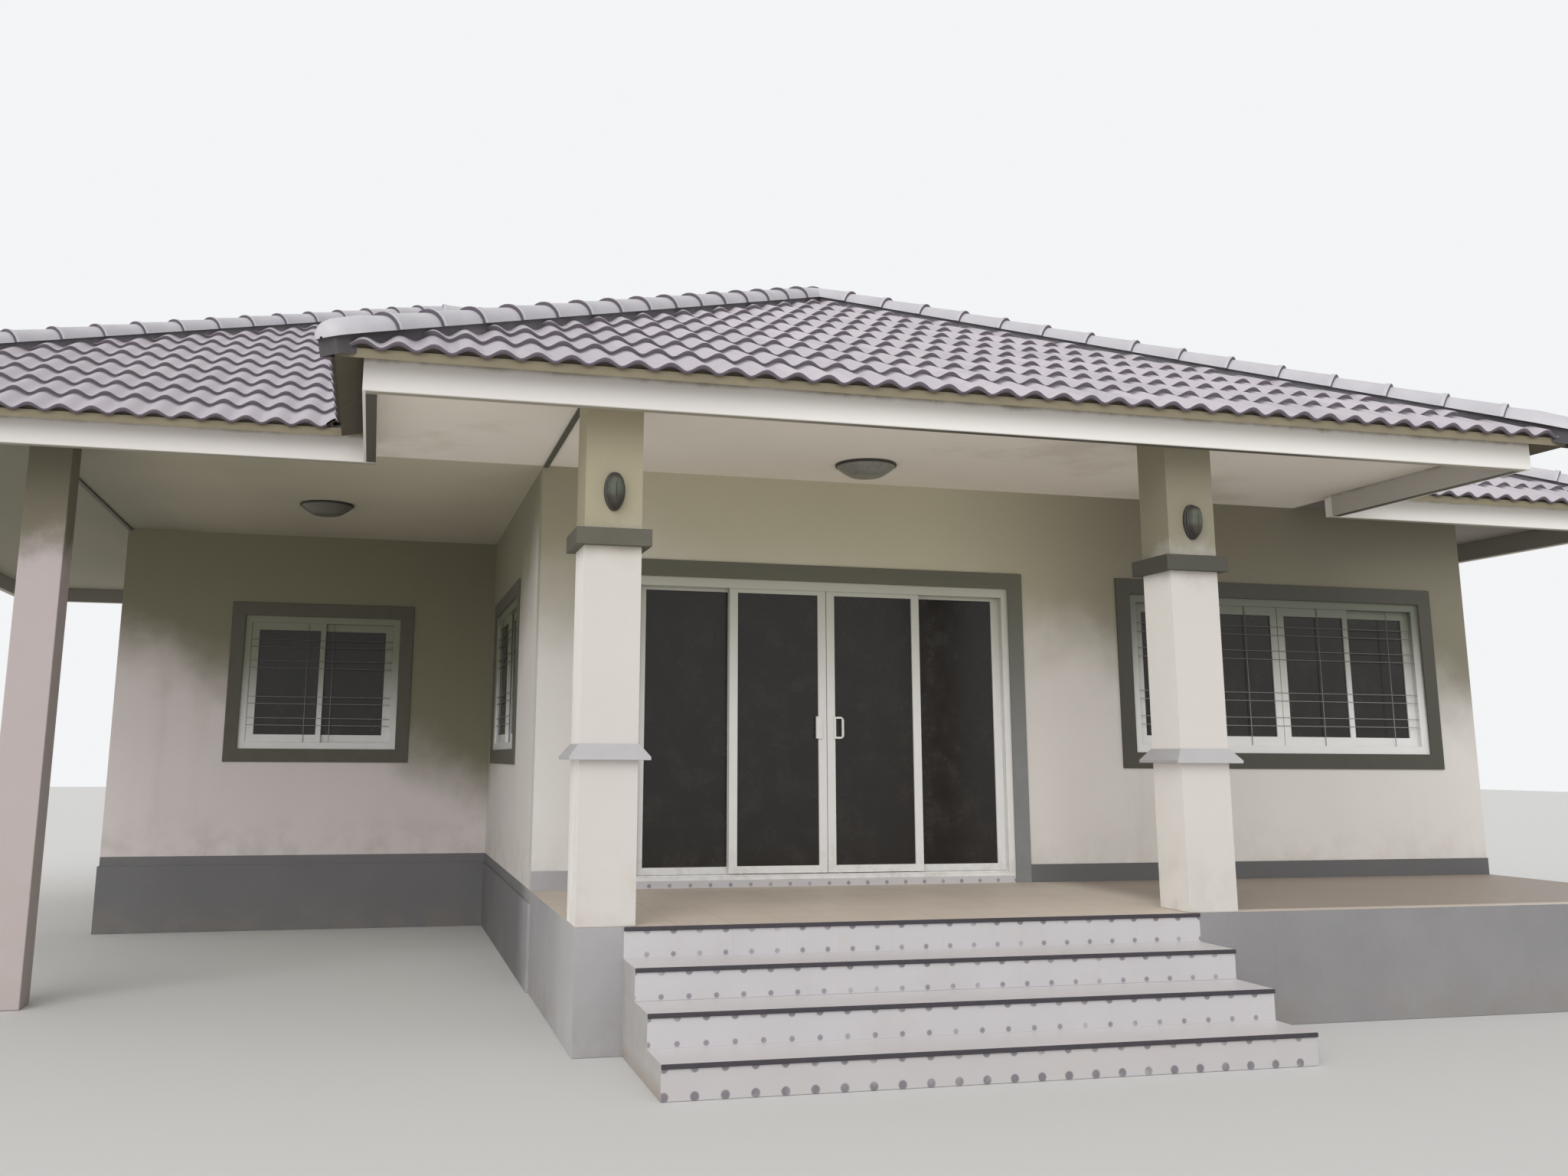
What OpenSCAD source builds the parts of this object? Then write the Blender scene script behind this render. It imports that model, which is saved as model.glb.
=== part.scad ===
// Single-storey bungalow with a raised porch, a side carport and intersecting hipped roofs.
// Millimetres. +Z is up, the front faces -Y, and the origin is the middle of the footprint on the ground.

/* [Entrance steps] */
// Height of one riser
riser_h = 160; // [140:1:180]
// Number of risers from the ground to the porch floor
riser_count = 4; // [3:1:5]
// Going of one tread
tread_d = 328; // [280:1:380]
// Width of the flight
steps_w = 3400; // [2800:10:3600]
// Thickness of the black nosing strips
nosing_t = 22; // [12:1:30]
// How far the nosing strips stand proud of the risers
nosing_out = 12; // [5:1:25]

/* [House plan] */
// Width of the main rooms, porch and front wall
house_w = 7600; // [7300:10:9000]
// Depth from the front wall to the back wall
house_d = 8300; // [7600:10:10000]
// Width of the wing beside the main rooms
wing_w = 3300; // [2800:10:4200]
// Depth of the carport, from the front wall's line back to the wing
carport_d = 3750; // [3200:10:4200]
// Thickness of the walls
wall_t = 150; // [110:1:220]
// Height of the walls' top and of the flat ceilings above the ground
ceiling_z = 3521; // [3300:1:3800]
// Height of the grey base band
band_h = 560; // [300:1:600]
// How far the base band stands proud
band_t = 15; // [5:1:30]

/* [Porch] */
// Depth of the porch from its front edge to the front wall
porch_d = 2050; // [1700:10:2600]
// Width of a porch column
column_w = 320; // [250:1:400]
// Depth of a porch column
column_d = 310; // [250:1:400]
// Clear width between the porch columns
column_gap = 3280; // [2900:10:3500]
// Underside of the columns' capital band
capital_z = 2652; // [2400:1:2800]
// Height of the capital band
capital_h = 95; // [50:1:150]
// How far the capital band stands proud
capital_out = 50; // [20:1:80]
// Underside of the columns' middle moulding
moulding_z = 1498; // [1200:1:1800]
// Height of the middle moulding
moulding_h = 84; // [50:1:120]
// How far the middle moulding stands proud at its foot
moulding_out = 60; // [20:1:80]
// Height of the skirting along the front wall
skirting_h = 126; // [80:1:160]
// Thickness of the skirting
skirting_t = 12; // [8:1:20]

/* [Carport] */
// Side of the square carport post
post_w = 260; // [200:1:350]

/* [Roof] */
// Rise of the roof for each unit of run
roof_slope = 0.48; // [0.35:0.01:0.6]
// Thickness of the roof shell, measured upright
roof_t = 50; // [40:1:80]
// How far the roof runs past the fascias
eave_out = 140; // [80:1:180]
// Underside of the fascias
fascia_z = 3358; // [3200:1:3420]
// Thickness of the fascias
fascia_t = 75; // [50:1:120]
// Roof top above the fascias' underside, at the fascia's face
eave_rise = 247; // [230:1:300]
// Main roof overhang in front of the front wall and behind the back wall
main_over_y = 553; // [400:1:800]
// Main roof overhang beyond the wing's outer wall
main_over_left = 2000; // [1500:10:2200]
// Main roof overhang beyond the right wall
main_over_right = 1200; // [800:10:1600]
// Porch roof overhang in front of the porch columns
porch_over_y = 309; // [200:1:500]
// Porch roof overhang left of the left column
porch_over_left = 1211; // [900:1:1500]
// Porch roof overhang right of the right column
porch_over_right = 2128; // [1500:1:2400]
// Thickness of the ceilings and soffits
soffit_t = 12; // [9:1:20]
// Radius of the half-round hip and ridge caps
cap_r = 105; // [80:1:130]
// Width of the dark cover strips on the soffits
strip_w = 34; // [20:1:60]
// Depth of the dark cover strips
strip_t = 14; // [8:1:20]

/* [Sliding door] */
// Left edge of the door frame from the porch's left face
door_x = 655; // [500:1:800]
// Width of the door frame
door_w = 2850; // [2400:10:2900]
// Top of the door and window frames above the ground
head_z = 2773; // [2650:1:2900]
// Height of the tiled curb under the door
curb_h = 47; // [20:1:80]
// Jambs of the door frame
door_jamb = 45; // [35:1:60]
// Head of the door frame
door_head = 40; // [35:1:60]
// Sill plate of the door frame
door_sill = 25; // [15:1:35]
// Thickness of a door leaf
leaf_t = 32; // [28:1:40]
// Width of a leaf's stiles
leaf_stile = 60; // [45:1:80]
// Height of a leaf's rails
leaf_rail = 50; // [40:1:80]
// Free room beside, over and under a moving leaf
leaf_clear = 6; // [5:0.5:8]
// Free room between a leaf and the fins beside it
fin_clear = 5; // [5:0.5:7]
// Thickness of the fins that guide the leaves
fin_t = 4; // [3:0.5:6]
// Depth of the fins below the head
fin_h = 25; // [15:1:40]
// Height of the rails that the leaves roll on
rail_h = 10; // [6:1:14]
// Thickness of the glass
glass_t = 6; // [4:1:8]
// Radius of a leaf's rollers
roller_r = 9; // [7:0.5:12]
// Middle of the pull and the lock above the porch floor
handle_z = 1090; // [900:1:1200]
// Length of the pull and the lock
handle_l = 155; // [120:1:220]
// Width of the bow-shaped pull
pull_w = 74; // [60:1:90]
// Thickness of the pull's bar
pull_bar = 14; // [10:1:18]
// How far the pull and the lock stand in front of the leaf
pull_out = 20; // [14:1:24]

/* [Windows] */
// Height of the window frames
window_h = 1200; // [1000:10:1300]
// Bars of the fixed window frame
window_bar = 60; // [40:1:70]
// Outer stiles and rails of the window sashes
sash_bar = 68; // [50:1:80]
// Stiles where two sashes pass each other
interlock_w = 46; // [35:1:60]
// Stiles where two sashes meet end to end
meeting_w = 60; // [45:1:70]
// Width of the wide front window
front_window_w = 2620; // [2200:10:2700]
// From the front window's frame to the house's right corner
front_window_gap = 450; // [300:5:600]
// From the carport's side window to the wing's wall
side_window_gap = 420; // [300:10:900]
// From the carport's back window to the wing's outer corner
carport_window_gap = 1060; // [600:10:1200]
// From the right wall's corners to the middle of its windows
right_window_in = 2200; // [1500:10:2600]
// Width of the window in the carport's side wall
side_window_w = 1900; // [1500:10:2200]
// Width of the other windows
small_window_w = 1380; // [1000:10:1600]
// Width of the dark surrounds
surround_w = 118; // [60:1:140]
// How far the dark surrounds stand proud
surround_t = 15; // [8:1:25]

/* [Lamps] */
// Diameter of the ceiling lamps
ceiling_lamp_d = 410; // [300:10:500]
// Height of the ceiling lamps
ceiling_lamp_h = 120; // [80:1:160]
// Height of the lamps on the porch columns above the ground
wall_lamp_z = 2956; // [2900:1:3100]
// Width of the oval lamps on the porch columns
wall_lamp_w = 118; // [90:1:150]
// Height of the oval lamps
wall_lamp_h = 218; // [180:1:260]
// How far the oval lamps stand in front of the columns
wall_lamp_t = 90; // [60:1:120]
// From the porch's left face to the middle of the porch lamp
porch_lamp_x = 2160; // [1800:10:2600]
// From the front wall to the middle of the porch lamp
porch_lamp_in = 640; // [400:10:1000]
// From the wing's wall to the middle of the carport lamp
carport_lamp_in = 1760; // [1200:10:2400]

/* [Hidden] */
floor_z = riser_h * riser_count;
// House corners: x runs from the porch's left face, y from the porch's front edge
x_wing = -wing_w;
y_front = porch_d;
y_back = porch_d + house_d;
y_wing = y_front + carport_d;
// Columns and steps share one middle line
column_right_x = column_w + column_gap;
steps_x = column_w + column_gap / 2 - steps_w / 2;
steps_front = (riser_count - 1) * tread_d;
// Roof plans at the face of the fascias
main_x0 = x_wing - main_over_left;
main_x1 = house_w + main_over_right;
main_y0 = y_front - main_over_y;
main_y1 = y_back + main_over_y;
porch_x0 = -porch_over_left;
porch_x1 = column_right_x + column_w + porch_over_right;
porch_y0 = -porch_over_y;
roof_top_z = fascia_z + eave_rise;
main_run = (main_y1 - main_y0) / 2 + eave_out;
porch_run = (porch_x1 - porch_x0) / 2 + eave_out;
edge_z = roof_top_z - eave_out * roof_slope;
// Door: two tracks, the sliding leaves in front of the fixed ones
door_z = floor_z + curb_h;
door_h = head_z - door_z;
track_pitch = leaf_t + 2 * fin_clear + fin_t;
door_depth = 2 * track_pitch + fin_t;
track_y = [track_pitch / 2 + fin_t / 2, 1.5 * track_pitch + fin_t / 2];
door_mid = door_x + door_w / 2;
meet_gap = 5;
leaf_w = ((door_w - 2 * door_jamb - meet_gap) / 2 + leaf_stile) / 2;
leaf_z = door_z + door_sill + rail_h + leaf_clear;
leaf_h = door_z + door_h - door_head - leaf_clear - leaf_z;
lock_over = 22;
roller_seat = 0.3;
roller_in = 90;
rail_w = 6;
frame_set = 10;
fixed_z = door_z + door_sill + rail_h;
fixed_h = door_z + door_h - door_head - fixed_z;
fixed_x = [door_x + door_jamb, door_x + door_w - door_jamb - leaf_w];
slide_x = [door_mid - meet_gap / 2 - leaf_w, door_mid + meet_gap / 2];
// How far cuts run past the faces that they open
cut = 1;
// Windows
window_z = head_z - window_h;
window_depth = 80;
sash_t = 28;
sash_pitch = 34;
// Middle of the footprint on the ground
origin_x = (main_x0 + main_x1) / 2;
origin_y = (main_y1 + eave_out - steps_front - nosing_out) / 2;

// Each window: its left edge seen from outside, the turn of its wall, its width and its sashes
WINDOW_FRONT = [[house_w - front_window_gap - front_window_w, y_front, 0, front_window_w, 4]];
WINDOW_CARPORT = [
    [0, y_wing - side_window_gap, -90, side_window_w, 2],
    [x_wing + carport_window_gap, y_wing, 0, small_window_w, 2]
];
WINDOW_PLAIN = [
    [x_wing, (y_wing + y_back) / 2 + small_window_w / 2, -90, small_window_w, 2],
    [house_w, y_front + right_window_in - small_window_w / 2, 90, small_window_w, 2],
    [house_w, y_back - right_window_in - small_window_w / 2, 90, small_window_w, 2],
    [x_wing / 2 + small_window_w / 2, y_back, 180, small_window_w, 2],
    [house_w / 4 + small_window_w / 2, y_back, 180, small_window_w, 2],
    [house_w * 3 / 4 + small_window_w / 2, y_back, 180, small_window_w, 2]
];
WINDOWS = concat(WINDOW_FRONT, WINDOW_CARPORT, WINDOW_PLAIN);

WALL = "#d9d5c9";
GREY = "#8f9096";
DARK = "#4b4d50";
FRAME = "#e6e6e4";
GLASS = "#3a3536";
TILE = "#b9b4bd";

// Moves house coordinates to the part's own frame
module placed() {
    translate([-origin_x, -origin_y, 0]) children();
}

// A box from one corner to the opposite one
module block(low, high) {
    translate(low) cube(high - low);
}

// Base and porch
module house_base() {
    color(GREY) placed() linear_extrude(floor_z) house_plan(0);
}

// The rooms' outline, shrunk by a margin
module house_plan(inset) {
    polygon([
        [inset, y_front + inset], [house_w - inset, y_front + inset], [house_w - inset, y_back - inset],
        [x_wing + inset, y_back - inset], [x_wing + inset, y_wing + inset], [inset, y_wing + inset]
    ]);
}

module base_band() {
    b = band_t;
    color(GREY) placed() linear_extrude(band_h) polygon([
        [0, y_front], [-b, y_front], [-b, y_wing - b], [x_wing - b, y_wing - b],
        [x_wing - b, y_back + b], [house_w + b, y_back + b], [house_w + b, y_front],
        [house_w, y_front], [house_w, y_back], [x_wing, y_back], [x_wing, y_wing], [0, y_wing]
    ]);
}

module porch_slab() {
    color(GREY) placed() block([0, 0, 0], [house_w, y_front, floor_z]);
}

// One step of the flight, counted from the ground
module step(n) {
    color("#b4b6bd") placed()
        block([steps_x, -(riser_count - n) * tread_d, (n - 1) * riser_h], [steps_x + steps_w, 0, n * riser_h]);
}

module step_1() { step(1); }
module step_2() { step(2); }
module step_3() { step(3); }

// A strip on each step's front edge, standing a little proud of the riser
module step_nosings() {
    color("#2b2c30") placed() for (n = [1 : riser_count]) {
        y = -(riser_count - n) * tread_d;
        block([steps_x, y - nosing_out, n * riser_h - nosing_t], [steps_x + steps_w, y, n * riser_h]);
    }
}

// Columns
module column(x) {
    color(WALL) placed() block([x, 0, floor_z], [x + column_w, column_d, ceiling_z]);
}

module column_left() { column(0); }
module column_right() { column(column_right_x); }

module column_capital(x) {
    o = capital_out;
    difference() {
        block([x - o, -o, capital_z], [x + column_w + o, column_d + o, capital_z + capital_h]);
        block([x, 0, capital_z - cut], [x + column_w, column_d, capital_z + capital_h + cut]);
    }
}

module column_capitals() {
    color(DARK) placed() for (x = [0, column_right_x]) column_capital(x);
}

// The middle moulding leans out from the column's face to a small upright nose at its foot
module column_moulding(x) {
    difference() {
        intersection() {
            translate([x, 2 * column_d, moulding_z]) rotate([90, 0, 0])
                linear_extrude(3 * column_d) moulding_profile(column_w);
            translate([x - column_w, 0, moulding_z]) rotate([90, 0, 90])
                linear_extrude(3 * column_w) moulding_profile(column_d);
        }
        block([x, 0, moulding_z - cut], [x + column_w, column_d, moulding_z + moulding_h + cut]);
    }
}

module moulding_profile(w) {
    nose = moulding_h / 5;
    lip = moulding_out / 8;
    polygon([
        [-moulding_out, 0], [w + moulding_out, 0], [w + moulding_out, nose], [w + lip, moulding_h],
        [-lip, moulding_h], [-moulding_out, nose]
    ]);
}

module column_mouldings() {
    color("#c8c8d0") placed() for (x = [0, column_right_x]) column_moulding(x);
}

module carport_post() {
    color(WALL) placed() block([x_wing, y_front, 0], [x_wing + post_w, y_front + post_w, ceiling_z]);
}

// Walls
module window_hole(w) {
    translate([w[0], w[1], 0]) rotate(w[2])
        block([0, -wall_t, window_z], [w[3], 2 * wall_t, window_z + window_h]);
}

module wall(low, high) {
    color(WALL) placed() difference() {
        block([low.x, low.y, floor_z], [high.x, high.y, ceiling_z]);
        for (w = WINDOWS) window_hole(w);
    }
}

module front_wall_left() { wall([0, y_front], [door_x, y_front + wall_t]); }
module front_wall_right() { wall([door_x + door_w, y_front], [house_w, y_front + wall_t]); }
module front_wall_over_door() {
    color(WALL) placed() block([door_x, y_front, head_z], [door_x + door_w, y_front + wall_t, ceiling_z]);
}
module carport_side_wall() { wall([0, y_front + wall_t], [wall_t, y_wing]); }
module carport_back_wall() { wall([x_wing, y_wing], [wall_t, y_wing + wall_t]); }
module left_wall() { wall([x_wing, y_wing + wall_t], [x_wing + wall_t, y_back - wall_t]); }
module back_wall() { wall([x_wing, y_back - wall_t], [house_w, y_back]); }
module right_wall() { wall([house_w - wall_t, y_front + wall_t], [house_w, y_back - wall_t]); }

// Door frame, leaves and glass, drawn from the front wall's face
module door_curb() {
    color("#b4b6bd") placed()
        block([door_x, y_front, floor_z], [door_x + door_w, y_front + wall_t, door_z]);
}

module door_frame() {
    top = door_z + door_h;
    color(FRAME) placed() translate([door_x, y_front + frame_set, 0]) {
        difference() {
            block([0, 0, door_z], [door_w, door_depth, top]);
            block([door_jamb, -cut, door_z + door_sill], [door_w - door_jamb, door_depth + cut, top - door_head]);
        }
        for (i = [0 : 2])
            block([door_jamb, i * track_pitch, top - door_head - fin_h],
                [door_w - door_jamb, i * track_pitch + fin_t, top - door_head]);
        for (y = track_y)
            block([door_jamb, y - rail_w / 2, door_z + door_sill],
                [door_w - door_jamb, y + rail_w / 2, door_z + door_sill + rail_h]);
    }
}

// A leaf's bars, from its lower left corner
module leaf_bars(w, h) {
    difference() {
        block([0, -leaf_t / 2, 0], [w, leaf_t / 2, h]);
        block([leaf_stile, -leaf_t, leaf_rail], [w - leaf_stile, leaf_t, h - leaf_rail]);
    }
}

module leaf_glass(w, h) {
    block([leaf_stile, -glass_t / 2, leaf_rail], [w - leaf_stile, glass_t / 2, h - leaf_rail]);
}

module on_track(x, track, z) {
    translate([x, y_front + frame_set + track_y[track], z]) children();
}

module door_fixed_leaves() {
    color(FRAME) placed() for (x = fixed_x) on_track(x, 1, fixed_z) leaf_bars(leaf_w, fixed_h);
}

module door_fixed_glass() {
    color(GLASS) placed() for (x = fixed_x) on_track(x, 1, fixed_z) leaf_glass(leaf_w, fixed_h);
}

module leaf_rollers() {
    drop = leaf_clear - roller_seat;
    for (x = [roller_in, leaf_w - roller_in])
        translate([x, rail_w / 2, roller_r - drop]) rotate([90, 0, 0]) cylinder(h = rail_w, r = roller_r, $fn = 32);
}

// A flat piece on the leaf's outer face, at the height of the hand
module on_stile(x) {
    translate([x, -leaf_t / 2, floor_z + handle_z - leaf_z]) rotate([90, 0, 0]) linear_extrude(pull_out) children();
}

// A bow-shaped pull, held on the stile and reaching over the glass
module bow_pull() {
    r = 2 * pull_bar;
    difference() {
        union() {
            translate([0, -handle_l / 2]) square([pull_w - r, handle_l]);
            translate([0, -handle_l / 2 + r]) square([pull_w, handle_l - 2 * r]);
            for (side = [-1, 1]) translate([pull_w - r, side * (handle_l / 2 - r)]) circle(r, $fn = 32);
        }
        translate([pull_bar, -handle_l / 2 + pull_bar]) square([pull_w - 2 * pull_bar, handle_l - 2 * pull_bar]);
    }
}

module door_leaf_left() {
    color(FRAME) placed() on_track(slide_x[0], 0, leaf_z) union() {
        leaf_bars(leaf_w, leaf_h);
        leaf_rollers();
        on_stile(leaf_w - leaf_stile - lock_over) translate([0, -handle_l / 2]) square([2 * lock_over, handle_l]);
    }
}

module door_leaf_right() {
    color(FRAME) placed() on_track(slide_x[1], 0, leaf_z) union() {
        leaf_bars(leaf_w, leaf_h);
        leaf_rollers();
        on_stile(leaf_stile - pull_bar) bow_pull();
    }
}

module door_glass_left() { color(GLASS) placed() on_track(slide_x[0], 0, leaf_z) leaf_glass(leaf_w, leaf_h); }
module door_glass_right() { color(GLASS) placed() on_track(slide_x[1], 0, leaf_z) leaf_glass(leaf_w, leaf_h); }

module door_surround() {
    s = surround_w;
    color(DARK) placed() difference() {
        block([door_x - s, y_front - surround_t, floor_z], [door_x + door_w + s, y_front, head_z + s]);
        block([door_x, y_front - surround_t - cut, floor_z - cut], [door_x + door_w, y_front + cut, head_z]);
    }
}

module porch_skirting() {
    color(GREY) placed() {
        block([0, y_front - skirting_t, floor_z], [door_x - surround_w, y_front, floor_z + skirting_h]);
        block([door_x + door_w + surround_w, y_front - skirting_t, floor_z],
            [house_w, y_front, floor_z + skirting_h]);
    }
}

// Windows: a fixed frame with sashes on two tracks, drawn in a wall that faces -Y.
// Each sash: its left edge, its left and right stiles and its track, 0 in front and 1 behind
function sash_w(w) = let(inner = w[3] - 2 * window_bar)
    w[4] == 4 ? (inner - meet_gap + 2 * interlock_w) / 4 : (inner + interlock_w) / 2;

function sashes(w) = let(inner = w[3] - 2 * window_bar, s = sash_w(w), bar = sash_bar, lock = interlock_w)
    w[4] == 4 ? [
        [0, bar, lock, 1],
        [s - lock, lock, meeting_w, 0],
        [inner - 2 * s + lock, meeting_w, lock, 0],
        [inner - s, lock, bar, 1]
    ] : [[0, bar, lock, 0], [inner - s, lock, bar, 1]];

module in_window(w) {
    translate([w[0], w[1], window_z]) rotate(w[2]) translate([0, frame_set, 0]) children();
}

module in_sash(sash) {
    y = window_depth / 2 + sash_pitch * (sash[3] - 1 / 2);
    translate([window_bar + sash[0], y, window_bar]) children();
}

module window_frame(w) {
    sash_h = window_h - 2 * window_bar;
    in_window(w) {
        difference() {
            block([0, 0, 0], [w[3], window_depth, window_h]);
            block([window_bar, -cut, window_bar],
                [w[3] - window_bar, window_depth + cut, window_h - window_bar]);
        }
        for (sash = sashes(w)) in_sash(sash) difference() {
            block([0, -sash_t / 2, 0], [sash_w(w), sash_t / 2, sash_h]);
            block([sash[1], -sash_t, sash_bar], [sash_w(w) - sash[2], sash_t, sash_h - sash_bar]);
        }
    }
}

module window_panes(w) {
    pane_top = window_h - 2 * window_bar - sash_bar;
    in_window(w) for (sash = sashes(w)) in_sash(sash)
        block([sash[1], -glass_t / 2, sash_bar], [sash_w(w) - sash[2], glass_t / 2, pane_top]);
}

module front_window() { color(FRAME) placed() for (w = WINDOW_FRONT) window_frame(w); }
module carport_windows() { color(FRAME) placed() for (w = WINDOW_CARPORT) window_frame(w); }
module plain_windows() { color(FRAME) placed() for (w = WINDOW_PLAIN) window_frame(w); }
module window_glass() { color(GLASS) placed() for (w = WINDOWS) window_panes(w); }

module window_surround(w) {
    s = surround_w;
    translate([w[0], w[1], window_z]) rotate(w[2]) difference() {
        block([-s, -surround_t, -s], [w[3] + s, 0, window_h + s]);
        block([0, -surround_t - cut, 0], [w[3], cut, window_h]);
    }
}

module window_surrounds() { color(DARK) placed() for (w = WINDOWS) window_surround(w); }

// Roof plans, grown or shrunk by a margin
module main_plan(grow) {
    translate([main_x0 - grow, main_y0 - grow])
        square([main_x1 - main_x0 + 2 * grow, main_y1 - main_y0 + 2 * grow]);
}

module porch_plan(grow) {
    translate([porch_x0 - grow, porch_y0 - grow])
        square([porch_x1 - porch_x0 + 2 * grow, y_front - porch_y0 + grow]);
}

module roof_plan(grow) {
    union() {
        main_plan(grow);
        porch_plan(grow);
    }
}

// A solid under a hipped roof on the rectangle from low to high, lowered by drop.
// Its hips run at 45 degrees in plan, as the crossing of two extruded profiles.
module hipped_solid(low, high, run, drop, foot) {
    eave = edge_z - drop;
    rise = run * roof_slope;
    w = high.x - low.x;
    d = high.y - low.y;
    intersection() {
        translate([low.x, low.y, 0]) rotate([90, 0, 90]) linear_extrude(w)
            polygon([[0, foot], [d, foot], [d, eave], [d - min(run, d / 2), eave + min(run, d / 2) * roof_slope],
                [min(run, d / 2), eave + min(run, d / 2) * roof_slope], [0, eave]]);
        translate([low.x, high.y, 0]) rotate([90, 0, 0]) linear_extrude(d)
            polygon([[0, foot], [w, foot], [w, eave], [w - run, eave + rise], [run, eave + rise], [0, eave]]);
    }
}

main_low = [main_x0 - eave_out, main_y0 - eave_out];
main_high = [main_x1 + eave_out, main_y1 + eave_out];
porch_low = [porch_x0 - eave_out, porch_y0 - eave_out];
porch_high = [porch_x1 + eave_out, main_y0 + porch_run + 2 * eave_out];

module main_hip(drop, foot) {
    hipped_solid(main_low, main_high, main_run, drop, foot);
}

// The porch roof has a hip at its front only, so its back end is cut by the main roof
module porch_hip(drop, foot) {
    eave = edge_z - drop;
    w = porch_high.x - porch_low.x;
    d = porch_high.y - porch_low.y;
    intersection() {
        translate([porch_low.x, porch_low.y, 0]) rotate([90, 0, 90]) linear_extrude(w)
            polygon([[0, foot], [d, foot], [d, eave + porch_run * roof_slope],
                [porch_run, eave + porch_run * roof_slope], [0, eave]]);
        translate([porch_low.x, porch_high.y, 0]) rotate([90, 0, 0]) linear_extrude(d)
            polygon([[0, foot], [w, foot], [w, eave], [w / 2, eave + porch_run * roof_slope], [0, eave]]);
    }
}

module main_roof() {
    color(TILE) placed() difference() {
        main_hip(0, edge_z - roof_t);
        main_hip(roof_t, 0);
        porch_hip(roof_t, 0);
    }
}

module porch_roof() {
    color(TILE) placed() difference() {
        porch_hip(0, edge_z - roof_t);
        porch_hip(roof_t, 0);
        main_hip(0, 0);
    }
}

// Fascias stand between their underside and the roof shell
module fascia_ring() {
    intersection() {
        translate([0, 0, fascia_z]) linear_extrude(edge_z) difference() {
            roof_plan(0);
            roof_plan(-fascia_t);
        }
        union() {
            main_hip(roof_t, 0);
            porch_hip(roof_t, 0);
        }
    }
}

module main_fascia() {
    color("#e4e2dd") placed() difference() {
        fascia_ring();
        block([main_x0 - cut, porch_y0 - cut, 0], [main_x1 + cut, main_y0, 2 * edge_z]);
    }
}

module porch_fascia() {
    color("#e4e2dd") placed() intersection() {
        fascia_ring();
        block([main_x0 - cut, porch_y0 - cut, 0], [main_x1 + cut, main_y0, 2 * edge_z]);
    }
}

// Flat ceilings: the inner one ends halfway across the walls
module house_ceiling() {
    color(WALL) placed() translate([0, 0, ceiling_z]) linear_extrude(soffit_t) house_plan(wall_t / 2);
}

module eaves_soffit() {
    color(WALL) placed() translate([0, 0, ceiling_z]) linear_extrude(soffit_t) difference() {
        roof_plan(-fascia_t);
        house_plan(wall_t / 2);
    }
}

module soffit_strips() {
    z = ceiling_z - strip_t;
    color(DARK) placed() {
        block([0, column_d, z], [strip_w, y_front, ceiling_z]);
        block([x_wing, y_front + post_w, z], [x_wing + strip_w, y_wing, ceiling_z]);
    }
}

// A half-round cap along a line on the roof: its underside lies on the two slopes,
// which fall away to both sides by the ratio fall
module cap_line(a, b, fall) {
    v = b - a;
    flat = norm([v.x, v.y]);
    translate(a) rotate([0, 90 - atan2(v.z, flat), atan2(v.y, v.x)]) linear_extrude(norm(v))
        polygon(concat([[0, 0]], [for (t = [-90 : 15 : 90]) [fall * cap_r - cap_r * cos(t), cap_r * sin(t)]]));
}

hip_fall = roof_slope / sqrt(roof_slope * roof_slope + 2);
cap_start = cap_r;
function hip_point(corner, dir, run) = [corner.x + dir.x * run, corner.y + dir.y * run, edge_z + run * roof_slope];

module hip_cap(corner, dir, run) {
    cap_line(hip_point(corner, dir, cap_start), hip_point(corner, dir, run), hip_fall);
}

module roof_caps() {
    main_a = hip_point(main_low, [1, 1], main_run);
    main_b = hip_point(main_high, [-1, -1], main_run);
    porch_top = hip_point(porch_low, [1, 1], porch_run);
    color("#a9a6b0") placed() union() {
        hip_cap(main_low, [1, 1], main_run);
        hip_cap([main_low.x, main_high.y], [1, -1], main_run);
        hip_cap([main_high.x, main_low.y], [-1, 1], main_run);
        hip_cap(main_high, [-1, -1], main_run);
        cap_line(main_a, main_b, roof_slope);
        hip_cap(porch_low, [1, 1], porch_run);
        hip_cap([porch_high.x, porch_low.y], [-1, 1], porch_run);
        difference() {
            cap_line(porch_top, [porch_top.x, main_low.y + porch_run + 2 * cap_r, porch_top.z], roof_slope);
            main_hip(0, 0);
        }
    }
}

// Lamps
module ceiling_lamp() {
    r = ceiling_lamp_d / 2;
    h = ceiling_lamp_h;
    rim = h / 6;
    rotate_extrude($fn = 48) polygon(concat(
        [[0, 0], [r, 0], [r, -rim]],
        [for (a = [0 : 15 : 90]) [(r - rim) * cos(a), -rim - (h - rim) * sin(a)]]
    ));
}

module ceiling_lamps() {
    color("#dcdcd6") placed() {
        translate([porch_lamp_x, y_front - porch_lamp_in, ceiling_z]) ceiling_lamp();
        translate([(x_wing + steps_x) / 2, y_wing - carport_lamp_in, ceiling_z]) ceiling_lamp();
    }
}

// An oval, shrunk by a margin
module oval(inset) {
    r = wall_lamp_w / 2 - inset;
    reach = (wall_lamp_h - wall_lamp_w) / 2;
    hull() for (side = [-1, 1]) translate([0, side * reach]) circle(r, $fn = 32);
}

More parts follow.
